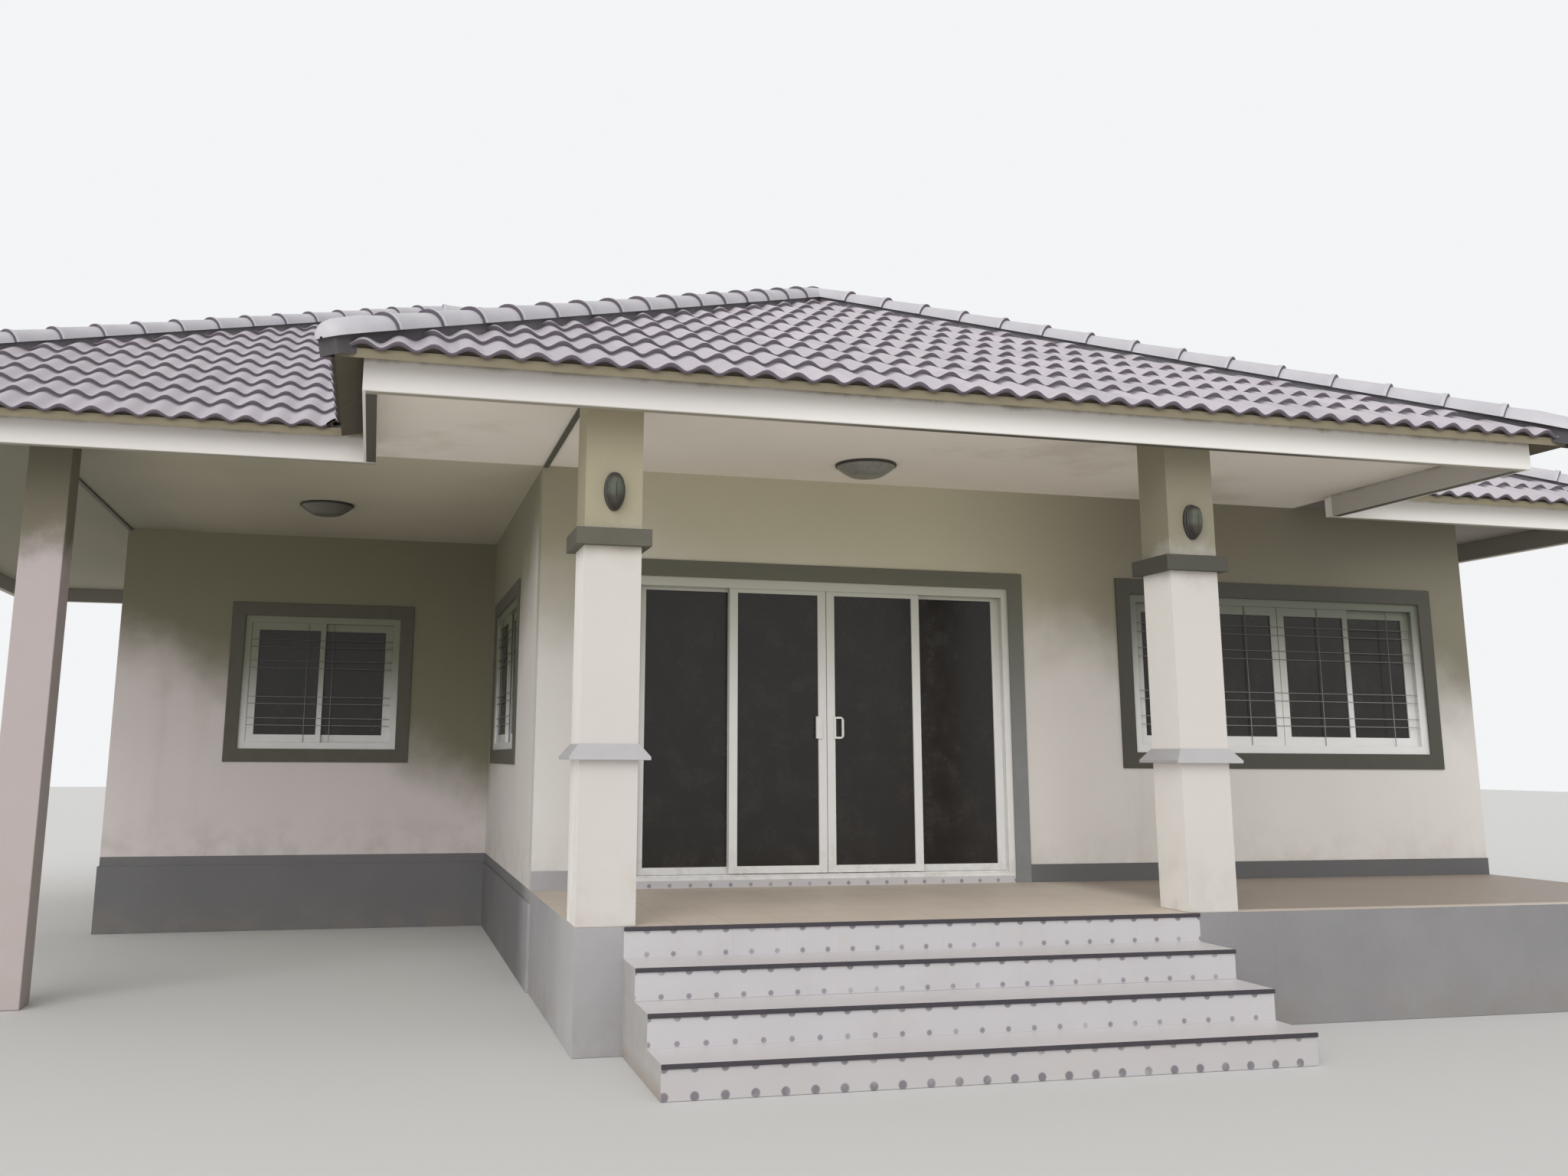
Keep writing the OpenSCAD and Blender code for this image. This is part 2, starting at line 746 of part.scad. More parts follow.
// A bulkhead lamp: a plate, a bowl and three guard bars that bow over it
module wall_lamp(x) {
    plate = wall_lamp_t / 4;
    bar = wall_lamp_w / 12;
    bowl_in = wall_lamp_w / 8;
    translate([x, 0, wall_lamp_z]) rotate([90, 0, 0]) union() {
        linear_extrude(plate) oval(0);
        linear_extrude(wall_lamp_t - 2 * bar) oval(bowl_in);
        for (side = [-1, 0, 1]) translate([side * wall_lamp_w / 4 - bar / 2, 0, 0]) rotate([90, 0, 90])
            linear_extrude(bar) guard_bow(wall_lamp_h / 2 - abs(side) * bowl_in);
    }
}

// Half an ellipse, from the plate's edge to the lamp's front
module guard_bow(reach) {
    polygon([for (a = [0 : 15 : 180]) [reach * cos(a), wall_lamp_t * sin(a)]]);
}

module wall_lamps() {
    color("#2e2f33") placed() for (x = [column_w / 2, column_right_x + column_w / 2]) wall_lamp(x);
}

house_base();
base_band();
porch_slab();
step_1();
step_2();
step_3();
step_nosings();
column_left();
column_right();
column_capitals();
column_mouldings();
carport_post();
front_wall_left();
front_wall_over_door();
front_wall_right();
carport_side_wall();
carport_back_wall();
left_wall();
back_wall();
right_wall();
door_curb();
door_frame();
door_fixed_leaves();
door_fixed_glass();
door_leaf_left();
door_glass_left();
door_leaf_right();
door_glass_right();
door_surround();
porch_skirting();
front_window();
carport_windows();
plain_windows();
window_glass();
window_surrounds();
main_fascia();
porch_fascia();
eaves_soffit();
house_ceiling();
soffit_strips();
main_roof();
porch_roof();
roof_caps();
ceiling_lamps();
wall_lamps();
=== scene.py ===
"""Dresses the bungalow: roof tiles, caps, grilles, lamps and the finish of every surface.

Metres, in the part's frame: x to the right, y to the back, z up. Colours are linear red, green and blue.
Where a finish comes and goes, two places tell where it begins and where it is full. They are measured
from an edge of the house where the name ends in FADE.
"""

import math

import bmesh
import bpy
from mathutils import Matrix, Vector


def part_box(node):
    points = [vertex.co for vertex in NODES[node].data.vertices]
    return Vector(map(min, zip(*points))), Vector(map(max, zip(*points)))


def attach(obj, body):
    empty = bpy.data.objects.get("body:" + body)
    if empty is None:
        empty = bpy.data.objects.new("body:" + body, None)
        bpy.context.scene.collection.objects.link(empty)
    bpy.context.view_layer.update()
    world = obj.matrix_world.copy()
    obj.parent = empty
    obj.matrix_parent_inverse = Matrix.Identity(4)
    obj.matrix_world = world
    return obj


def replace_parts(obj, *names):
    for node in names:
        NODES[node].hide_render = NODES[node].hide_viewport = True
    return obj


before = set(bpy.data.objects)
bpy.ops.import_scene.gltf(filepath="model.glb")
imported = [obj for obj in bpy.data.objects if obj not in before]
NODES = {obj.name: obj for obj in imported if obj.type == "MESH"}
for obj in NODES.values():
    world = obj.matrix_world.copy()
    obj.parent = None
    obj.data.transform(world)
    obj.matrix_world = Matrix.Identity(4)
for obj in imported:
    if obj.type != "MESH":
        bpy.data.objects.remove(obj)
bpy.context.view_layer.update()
HOUSE = "house"

# Camera, solved from the photograph
CAMERA_AT = (-2.824, -12.3545, 1.509)
CAMERA_YAW = math.radians(14.132)
CAMERA_PITCH = math.radians(10.748)
CAMERA_ROLL = math.radians(0.334)
CAMERA_LENS = 31.32
CAMERA_SENSOR = 36
CAMERA_SHIFT = (0.0399, -0.0564)
CAMERA_REACH = 300

# Light
WORLD_LIGHT = 0.72
WORLD_SEEN = (0.90, 0.91, 0.92)
SUN_STRENGTH = 1.5
SUN_SPREAD = math.radians(50)
SUN_HEIGHT = math.radians(25)
SUN_SIDE = math.radians(-28)
FLOOR_REACH = 60.0
FLOOR_Z = -0.002
FLOOR_SEEN = (0.69, 0.685, 0.67)
FLOOR_BOUNCE = (0.92, 0.90, 0.86)
# Painted shade: the floor gives back less light under the carport.
FLOOR_SHADED_BOUNCE = (0.34, 0.325, 0.30)
SHELTER_MOUTH_FADE = (-0.6, 0.4)
SHELTER_SIDE_FADE = (0.3, 0)
SHELTER_END_FADE = (0, 1.5)
SHELTER_BACK_FADE = (0.2, 0)

# Roof tiles: waves across the slope, courses up it, and lips whose lower edge is painted dark as shade
SHELL = 0.05
WAVE = 0.1765
WAVE_H = 0.031
WAVE_ROUND = 0.85
WAVE_STEPS = 12
WAVES_PER_TILE = 2
COURSE = 0.347
LIP_LOW = 0.019
LIP_HIGH = 0.028
LIP_SHADE_SHARE = 0.9
LIP_FOOT_IN = 0.003
LIP_NOSE_IN = 0.005
TILE_SEAT = 0.006
EAVE_DROP = 0.022
EAVE_DIP = 0.010
EAVE_FILL_IN = 0.014
UNDERSIDE_IN = 0.09
COURSE_LAP = 0.02
VALLEY_GAP = 0.045
FIRST_CREST_X = 0.033

# Hip and ridge caps. A cap's collar is given by places along it and how far its skin stands out there,
# its closed end at the eave by angles of its round, its shoulder by shares of its step, width and height.
CAP_STEP = 0.363
CAP_LAP = 0.04
CAP_LIFT = 0.045
CAP_WIDE = 0.118
CAP_NARROW = 0.104
CAP_TALL = 0.108
CAP_EDGE = 0.018
CAP_TURNS = 12
CAP_COLLAR = ((0.006, 0.005), (0.035, 0.003), (0.045, -0.005))
CAP_FIRST_WIDE = CAP_WIDE * 0.87
CAP_FIRST_TALL = CAP_TALL * 0.87
CAP_REACH = 0.085
CAP_END = (6, 25, 45, 65, 90)
CAP_SHOULDER = (0.5, 0.97, 0.95)
PORCH_RIDGE_OVER = 0.05

# Mortar bed under the caps: half width and depth, how it tapers to its top, and its first section at an eave
BED_WIDE = 0.084
BED_FOOT = 0.06
BED_TAPER = 0.9
BED_OVER = 0.01
BED_START = (-0.05, 0.8, 0.7)

# Steps and their tiles: rows of dots at the foot and the head of every riser, which drift with the rows
STEP_RISE = 0.16
DOT_PITCH = 0.1425
DOT_FIRST = 0.156
DOT_DRIFT = 0.011
DOT_HEAD_Z = 0.137
DOT_HEAD_R = 0.018
DOT_FOOT_Z = 0.018
DOT_FOOT_R = 0.0135
DOT_GROUND_R = 0.021
DOT_SOFT = 0.004
DOT_TONE = (0.13, 0.118, 0.14)
RISER_TONES = (0.565, 0.55, 0.57), (0.49, 0.475, 0.485)
RISER_STAIN = (0.52, 0.46, 0.40)
RISER_SOILED = (0.36, 0.32, 0.31)
TREAD_TONES = (0.745, 0.705, 0.71), (0.65, 0.615, 0.62)
CEMENT_TONES = (0.50, 0.48, 0.465), (0.38, 0.36, 0.35)
CEMENT_STAIN = (0.30, 0.235, 0.18)
CEMENT_SOILED = (0.10, 0.0)
NOSING_TONES = (0.055, 0.048, 0.060), (0.028, 0.024, 0.030)

# Which way a face looks: the share of its normal where a finish begins and where it is full
FACES_UP = (0.4, 0.6)
FACES_DOWN = (-0.3, -0.6)
FACES_SIDE = (0.4, 0.6)
FACES_LEFT = (-0.5, -0.7)

# Plaster: its tones, and the heights or places where each finish begins and where it is full
WALL_LIGHT, WALL_DARK = (0.72, 0.685, 0.65), (0.665, 0.63, 0.60)
WALL_DUST = (0.42, 0.37, 0.31)
RAIN_MARK = (0.47, 0.44, 0.38)
STREAKS_DOWN = (1, 1, 0.12)
RAGGED_DOWN = (1, 1, 0.3)
# Painted shade on the plaster: how ragged its lower edge is, and where it darkens to the right.
SHADE_RAGGED = 0.7
SHADE_TURNS = (0.9, 3.2)
SPLASHED = (1.15, 0.62)
# Painted light: the columns' faces to the left get a lighter tone.
COLUMN = {"light": (0.62, 0.59, 0.56), "dark": (0.57, 0.54, 0.51), "left": (0.88, 0.85, 0.81)}

# Each plaster's nodes, the heights where its painted olive shade begins and is full, that shade's tone, and
# what else differs
PLASTERS = {
    "plaster": (("left_wall", "back_wall", "right_wall"), 2.5, 3.5, (0.50, 0.47, 0.35),
                {"light": (0.66, 0.63, 0.59), "dark": (0.59, 0.565, 0.525)}),
    "plaster_left": (("front_wall_left",), 2.0, 3.1, (0.33, 0.305, 0.22),
                     {"light": (0.65, 0.635, 0.605), "dark": (0.59, 0.575, 0.55)}),
    # On the front, painted shade reaches lower and darkens to the right.
    "plaster_front": (("front_wall_over_door", "front_wall_right"), 2.95, 3.8, (0.515, 0.485, 0.36),
                      {"light": (0.69, 0.66, 0.625), "dark": (0.62, 0.59, 0.56), "lean": (0.13, 0),
                       "right": (0.20, 0.185, 0.135)}),
    "plaster_column_left": (("column_left",), 2.55, 2.85, (0.36, 0.325, 0.225), COLUMN),
    "plaster_column_right": (("column_right",), 2.55, 2.85, (0.255, 0.235, 0.17), COLUMN),
    "plaster_post": (("carport_post",), 2.75, 3.0, (0.165, 0.15, 0.105),
                     {"light": (0.475, 0.42, 0.415), "dark": (0.42, 0.365, 0.36)}),
    # On the carport's side wall, painted shade reaches lower towards the back.
    "plaster_side": (("carport_side_wall",), 2.4, 3.5, (0.25, 0.235, 0.165), {"lean": (0, 0.45)}),
    # The carport's back wall: lighter tones as painted light, with painted shade reaching lower to the right.
    "plaster_carport": (("carport_back_wall",), 2.15, 2.95, (0.22, 0.205, 0.14),
                        {"light": (0.735, 0.675, 0.665), "dark": (0.67, 0.615, 0.60), "lean": (0.4, 0)}),
}

# Grey base and porch floor
GREY_TONES = (0.275, 0.268, 0.280), (0.41, 0.40, 0.41)
GREY_SHADED = (0.085, 0.085, 0.085)
BASE_DUST = (0.23, 0.20, 0.17)
BASE_DUSTY = (0.35, 0.0)
CARPORT_SHADE = 0.68
SKIRTING_SHADE = 0.88
SHADE_MOUTH_FADE = (-0.2, 0.6)
SHADE_SIDE_FADE = (0.1, 0)
SHADE_BACK_FADE = (0.15, 0.1)
SKIRTING_DARKENS = (-0.4, 2.2)
SLAB_DARKENS = (0.8, 2.4)
# Painted light on the slab's left face.
SLAB_LEFT_LIGHT = (0.62, 0.61, 0.62)
SLAB_LEFT_FADE = (1.3, 0.1)
FLOOR_TILE = 0.30
FLOOR_JOINT_WIDE = 0.004
FLOOR_TONES = (0.66, 0.575, 0.485), (0.50, 0.435, 0.36)
# Painted light towards the floor's front edge; painted shade in its front right corner.
FLOOR_FRONT_LIGHT = (0.88, 0.775, 0.67)
FLOOR_RIGHT_SHADE = (0.23, 0.18, 0.145)
FLOOR_JOINT = (0.20, 0.165, 0.13)
FLOOR_DARKENS = (1.9, 2.3)
FLOOR_EDGE_FADE = (0.08, 0.14)

# Trim, frames, bars and glass
TRIM_TONES = (0.120, 0.115, 0.088), (0.085, 0.081, 0.062)
TRIM_SHADED = (0.045, 0.044, 0.036)
TRIM_DARKENS = (0.5, 1.5)
TRIM_FRONT_FADE = (0.2, 0.1)
DOOR_TRIM_TONES = (0.235, 0.24, 0.24), (0.175, 0.18, 0.18)
# Painted shade along the door surround's head.
DOOR_TRIM_HEAD_SHADE = (0.115, 0.115, 0.085)
DOOR_TRIM_TURNS = (1.3, 2.9)
PALE_TRIM_TONES = (0.49, 0.48, 0.49), (0.42, 0.41, 0.42)
FRAME_TONES = (0.79, 0.785, 0.775), (0.71, 0.705, 0.695)
FRAME_DUST = (0.45, 0.41, 0.35)
FRAME_DUSTY = (1.1, 0.65)

# Each white frame's nodes, the heights where its greenish painted shade begins and is full, and that shade's
# tone
FRAMES = {
    "frame_door": (("door_frame", "door_fixed_leaves", "door_leaf_left", "door_leaf_right"), 1.7, 2.85,
                   (0.44, 0.44, 0.375)),
    "frame_front": (("front_window", "plain_windows"), 1.7, 2.75, (0.12, 0.13, 0.095)),
    "frame_carport": (("carport_windows",), 1.6, 2.5, (0.20, 0.205, 0.145)),
}
STEEL_TONES = (0.34, 0.33, 0.315), (0.23, 0.22, 0.21)
STEEL_HEAD = (0.085, 0.083, 0.072)
STEEL_DARKENS = (1.6, 2.6)
GLASS_TONES = (0.0165, 0.0135, 0.0115), (0.035, 0.031, 0.027)

# Fascias and soffits
BOARD_TONES = (0.89, 0.87, 0.84), (0.85, 0.825, 0.795)
# Painted shade on the fascias: to the left, on inner faces and undersides; the brown top band is partly
# stain, partly painted shade.
BOARD_LEFT_SHADE = (0.66, 0.62, 0.60)
BOARD_LEFT_SHADE_FADE = (0.0, -1.5)
BOARD_STAIN_AND_SHADE = (0.29, 0.25, 0.17)
BOARD_INNER_SHADE = (0.095, 0.082, 0.068)
INNER_SHADE = {"main_fascia": 0.85, "porch_fascia": 0.45}
INNER_FADE_LOW = (0.2, 0.1)
INNER_FADE_HIGH = (-0.2, -0.1)
STAIN_SHADE_FROM, STAIN_SHADE_TO = 0.165, 0.21
STAIN_SHADE_RAGGED = 0.05
FASCIA_UNDER_SHADE = (0.33, 0.31, 0.25)
FASCIA_UNDER_DEEP_SHADE = (0.085, 0.08, 0.062)
FASCIA_UNDER_BEHIND = (0.013, 0.019)
FASCIA_UNDER_DEEP_BEHIND = (0.07, 0.08)
FASCIA_UNDER_DEEPENS = (-1.2, 0.6)
FASCIA_UNDER_EASES = (3.4, 2.4)
SOFFIT_TONES = (0.83, 0.785, 0.705), (0.91, 0.865, 0.79)
# Painted shade and painted light on the soffit, by place:
SOFFIT_SHADE_TONES = (0.36, 0.335, 0.245), (0.47, 0.43, 0.335)
SOFFIT_LIGHT_PATCH = (0.78, 0.72, 0.58)
SOFFIT_LEFT_SHADE = (0.20, 0.19, 0.14)
SOFFIT_RIGHT_SHADE = (0.30, 0.26, 0.21)
SOFFIT_BEYOND_SHADE = (0.062, 0.048, 0.04)
SOFFIT_STAIN = (0.42, 0.365, 0.27)
SOFFIT_RIGHT_SHADE_FADE = (1.8, 4.2)
SOFFIT_BACK_FADE = (-0.01, 0.03)
SOFFIT_SIDE_FADE = (0.2, 0)
SOFFIT_PORCH_FADE = (0.07, 0.05)
SOFFIT_LIGHT_PATCH_FADE = (-1.9, -0.6)
SOFFIT_LEFT_FADE = (-2.3, -3.3)
SOFFIT_BEYOND_FADE = (-0.16, -0.12)

# Roof
# Roof shell: its brown eave edges are partly weathering, partly painted shade; its undersides and deck are
# painted shade.
EAVE_EDGE_STAIN_AND_SHADE_TONES = (0.27, 0.235, 0.155), (0.18, 0.155, 0.11)
EAVE_UNDER_SHADE_TONES = (0.115, 0.095, 0.062), (0.07, 0.058, 0.04)
DECK_SHADE_TONES = (0.060, 0.055, 0.065), (0.10, 0.09, 0.10)
TILE_TONES = (0.56, 0.515, 0.555), (0.475, 0.44, 0.48)
TILE_SOILED = (0.30, 0.27, 0.30)
TILE_FADED = (0.57, 0.54, 0.52)
# Painted shade on the tiles towards the left and below each lap.
TILE_LEFT_SHADE = (0.32, 0.29, 0.32)
TILE_LAP_SHADE = (0.11, 0.095, 0.115)
TILE_LAP_SHADE_SPAN = (0.80, 0.96)
TILE_LEFT_SHADE_FADE = (-0.5, -2.5)
# Painted shade on the lower edges of tile lips and caps.
TILE_EDGE_SHADE_TONES = (0.155, 0.130, 0.160), (0.095, 0.079, 0.098)
# Painted shade on the first course's underside and the fill under its humps at the eave.
TILE_UNDER_SHADE_TONES = (0.115, 0.095, 0.072), (0.065, 0.053, 0.042)
MORTAR_TONES = (0.215, 0.205, 0.225), (0.115, 0.108, 0.118)
# Painted shade on the mortar near the eaves, under the first caps.
MORTAR_EAVE_SHADE = (0.05, 0.047, 0.048)
MORTAR_FADE = (0.30, 0.14)
CAP_TONES = (0.60, 0.585, 0.61), (0.47, 0.46, 0.50)
CAP_DUST = (0.62, 0.605, 0.605)

# Windows in the house's own measure: left edge seen from outside, turn of the wall, width, uprights
HOUSE_X, HOUSE_Y = -1.750, -5.0235
PLAIN_UPRIGHTS = (0.345, 1.035)
WINDOWS = {
    "grille_front": [(4.53, 2.05, 0, 2.62, (0.36, 1.015, 1.675, 2.32))],
    "grilles_carport": [(0, 5.38, -90, 1.9, (0.475, 1.425)), (-2.24, 5.8, 0, 1.38, (0.56, 0.785))],
    "grilles_plain": [
        (-3.3, 8.765, -90, 1.38, PLAIN_UPRIGHTS), (7.6, 3.56, 90, 1.38, PLAIN_UPRIGHTS),
        (7.6, 7.46, 90, 1.38, PLAIN_UPRIGHTS), (-0.96, 10.35, 180, 1.38, PLAIN_UPRIGHTS),
        (2.59, 10.35, 180, 1.38, PLAIN_UPRIGHTS), (6.39, 10.35, 180, 1.38, PLAIN_UPRIGHTS),
    ],
}
WINDOW_Z = (1.573, 2.773)
WINDOW_BAR = 0.06
WINDOW_SET = 0.010
GRILLE_BAR = 0.005
GRILLE_SEAT = 0.005
UPRIGHT_DEEP = (0.001, 0.005)
ROW_DEEP = (0.0045, 0.0085)
GRILLE_ROWS = (1.784, 1.848, 1.977, 2.040, 2.300, 2.366, 2.490, 2.556)

# Lamps: radius and height of the ceiling lamps' skins, share of the width and stand-out of the column lamps'
LAMP_R = 0.205
LAMP_TURNS = 40
BOWL_PROFILE = ((0.0, 0.0), (0.211, 0.0), (0.213, -0.009), (0.211, -0.017), (0.202, -0.019))
GLASS_PROFILE = ((0.203, -0.017), (0.190, -0.033), (0.156, -0.058), (0.121, -0.079), (0.105, -0.086),
                 (0.082, -0.089), (0.0, -0.089))
OVAL_WIDE = 0.059
OVAL_TALL = 0.109
OVAL_TURNS = 32
OVAL_SQUARE = 0.8
OVAL_TAPER = 0.2
OVAL_RIM = ((1.0, 0.0), (1.0, 0.014), (0.97, 0.018), (0.86, 0.020), (0.86, 0.034), (0.80, 0.036),
            (0.78, 0.030))
OVAL_DOME = ((0.80, 0.028), (0.76, 0.050), (0.64, 0.066), (0.44, 0.074), (0.20, 0.078), (0.02, 0.079))

BOWL_TONES = (0.29, 0.295, 0.26), (0.15, 0.155, 0.13)
# Painted shade on the carport lamp's bowl.
BOWL_CARPORT_SHADE = (0.095, 0.085, 0.062)
BOWL_FADE = (0, -0.1)
LAMP_TONES = (0.115, 0.125, 0.095), (0.06, 0.066, 0.05)
LAMP_GRIME = (0.05, 0.041, 0.034)
LAMP_FOOT_FADE = (0.06, 0.11)
LAMP_TOP_FADE = (-0.02, -0.06)
LAMP_BLACK_TONES = (0.045, 0.042, 0.036), (0.025, 0.024, 0.021)

# Rounding of the CAD nodes' edges
ROUND_WELD = 0.0001
ROUND_FROM = math.radians(40)
ROUNDED = {
    0.006: ("column_left", "column_right", "carport_post", "column_capitals", "main_fascia", "porch_fascia"),
    0.003: ("column_mouldings", "step_nosings", "door_surround", "window_surrounds", "step_1", "step_2",
            "step_3"),
    0.002: ("door_frame", "door_fixed_leaves", "door_leaf_left", "door_leaf_right", "front_window",
            "carport_windows", "plain_windows"),
}


class Shader:
    """A Principled material that is built node by node."""

    def __init__(self, name, roughness=0.7, **sockets):
        self.material = bpy.data.materials.new(name)
        self.material.use_nodes = True
        self.tree = self.material.node_tree
        self.tree.nodes.clear()
        out = self.tree.nodes.new("ShaderNodeOutputMaterial")
        self.bsdf = self.tree.nodes.new("ShaderNodeBsdfPrincipled")
        self.tree.links.new(self.bsdf.outputs[0], out.inputs[0])
        self.bsdf.inputs["Roughness"].default_value = roughness
        for socket, value in sockets.items():
            self.bsdf.inputs[socket.replace("_", " ")].default_value = value
        self.coords = self.tree.nodes.new("ShaderNodeTexCoord")
        self.place = self.coords.outputs["Object"]

    def put(self, socket, value):
        """Links a socket's source, or sets a plain value."""
        if isinstance(value, bpy.types.NodeSocket):
            self.tree.links.new(value, socket)
        elif socket.type == "RGBA":
            socket.default_value = (*value[:3], 1)
        else:
            socket.default_value = value

    def math(self, operation, *values):
        node = self.tree.nodes.new("ShaderNodeMath")
        node.operation = operation
        for socket, value in zip(node.inputs, values):
            self.put(socket, value)
        return node.outputs[0]

    def fold(self, operation, values):
        """The operation on the first two values, then on that and the next, and so on."""
        total = values[0]
        for value in values[1:]:
            total = self.math(operation, total, value)
        return total

    def times(self, *values):
        return self.fold("MULTIPLY", values)

    def plus(self, *values):
        return self.fold("ADD", values)

    def minus(self, *values):
        return self.fold("SUBTRACT", values)

    def most(self, *values):
        return self.fold("MAXIMUM", values)

    def least(self, *values):
        return self.fold("MINIMUM", values)

    def mix(self, share, first, second):
        node = self.tree.nodes.new("ShaderNodeMix")
        node.data_type = "RGBA"
        self.put(node.inputs["Factor"], share)
        self.put(node.inputs["A"], first)
        self.put(node.inputs["B"], second)
        return node.outputs["Result"]

    def ramp(self, value, low, high, top=1.0):
        """0 below low and top above high, smooth between them."""
        node = self.tree.nodes.new("ShaderNodeMapRange")
        node.interpolation_type = "SMOOTHSTEP"
        for name, given in {"Value": value, "From Min": low, "From Max": high, "To Max": top}.items():
            self.put(node.inputs[name], given)
        return node.outputs[0]

    def fade(self, value, place, turns, top=1.0):
        """The same ramp, its two turns measured from a place."""
        return self.ramp(value, place + turns[0], place + turns[1], top)

    def stretched(self, scale):
        node = self.tree.nodes.new("ShaderNodeVectorMath")
        node.operation = "MULTIPLY"
        self.put(node.inputs[0], self.place)
        node.inputs[1].default_value = scale
        return node.outputs[0]

    def noise(self, scale, detail=3.0, roughness=0.55, stretch=None):
        node = self.tree.nodes.new("ShaderNodeTexNoise")
        self.put(node.inputs["Vector"], self.stretched(stretch) if stretch else self.place)
        node.inputs["Scale"].default_value = scale
        node.inputs["Detail"].default_value = detail
        node.inputs["Roughness"].default_value = roughness
        return node.outputs[0]

    def axes(self, source=None):
        node = self.tree.nodes.new("ShaderNodeSeparateXYZ")
        self.put(node.inputs[0], source or self.place)
        return node.outputs

    def normal(self):
        return self.axes(self.coords.outputs["Normal"])

    def attribute(self, name):
        node = self.tree.nodes.new("ShaderNodeAttribute")
        node.attribute_name = name
        return node.outputs["Fac"]

    def bump(self, height, distance, strength=1.0):
        node = self.tree.nodes.new("ShaderNodeBump")
        node.inputs["Strength"].default_value = strength
        node.inputs["Distance"].default_value = distance
        self.put(node.inputs["Height"], height)
        self.put(self.bsdf.inputs["Normal"], node.outputs[0])

    def color(self, value):
        self.put(self.bsdf.inputs["Base Color"], value)
        return self.material


# Materials
def plaster(name, shade_from, shade_to, shade_tone, light=WALL_LIGHT, dark=WALL_DARK, lean=(0, 0), left=None,
            right=None):
    """White paint on trowelled render: dusty low down, with rain marks, and painted olive shade
    up under the eaves.

    With a lean, the painted shade reaches lower by that share of the way to the right and to the back. Left,
    if given, is a lighter tone on the faces to the left, painted light, and right is the darker painted shade
    that the shade tone turns to on the right.
    """
    s = Shader(name, 0.85)
    x, y, z = s.axes()
    streaks = s.noise(3.0, 4.0, 0.6, STREAKS_DOWN)
    color = s.mix(s.noise(1.3, 4.0), light, dark)
    # Painted light on the faces to the left.
    if left:
        color = s.mix(s.ramp(s.normal()[0], *FACES_LEFT), color, left)
    # Height of the painted shade, ragged and reaching lower by the lean.
    high = s.plus(z, s.times(s.minus(s.noise(1.7, 5.0), 0.5), SHADE_RAGGED))
    corner = (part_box("carport_back_wall")[0].x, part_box("carport_side_wall")[0].y)
    for axis, start, share in zip((x, y), corner, lean):
        if share:
            high = s.plus(high, s.times(s.minus(axis, start), share))
    color = s.mix(s.ramp(streaks, 0.56, 0.78, 0.25), color, RAIN_MARK)
    # Painted shade darkening to the right.
    if right:
        shade_tone = s.mix(s.ramp(x, *SHADE_TURNS), shade_tone, right)
    # Painted olive shade up under the eaves.
    color = s.mix(s.ramp(high, shade_from, shade_to), color, shade_tone)
    splash = s.times(s.ramp(z, *SPLASHED), s.ramp(s.noise(6.0, 4.0), 0.35, 0.75))
    color = s.mix(s.times(splash, 0.35), color, WALL_DUST)
    s.bump(s.plus(s.noise(38.0, 4.0), s.times(s.noise(4.0, 2.0), 1.5)), 0.0025, 0.6)
    return s.color(color)


def grey_paint(s, shade):
    """The grey of the base, blotched and dusty at its foot, darker where shade is over 0."""
    z = s.axes()[2]
    color = s.mix(s.noise(2.2, 5.0), *GREY_TONES)
    color = s.mix(shade, color, GREY_SHADED)
    dust = s.times(s.ramp(z, *BASE_DUSTY), s.ramp(s.noise(5.0, 4.0), 0.3, 0.7))
    return s.mix(s.times(dust, 0.45), color, BASE_DUST)


def grey_plaster(name, right):
    """Grey painted render, darker round the carport, and to the right by that share."""
    s = Shader(name, 0.8)
    x, y = s.axes()[:2]
    low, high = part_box("carport_side_wall")
    inside = s.times(s.fade(y, low.y, SHADE_MOUTH_FADE), s.fade(x, high.x, SHADE_SIDE_FADE))
    inside = s.times(inside, s.fade(y, high.y, SHADE_BACK_FADE))
    s.bump(s.noise(60.0, 4.0), 0.003, 0.7)
    shade = s.most(s.times(inside, CARPORT_SHADE), s.ramp(x, *SKIRTING_DARKENS, right))
    return s.color(grey_paint(s, shade))


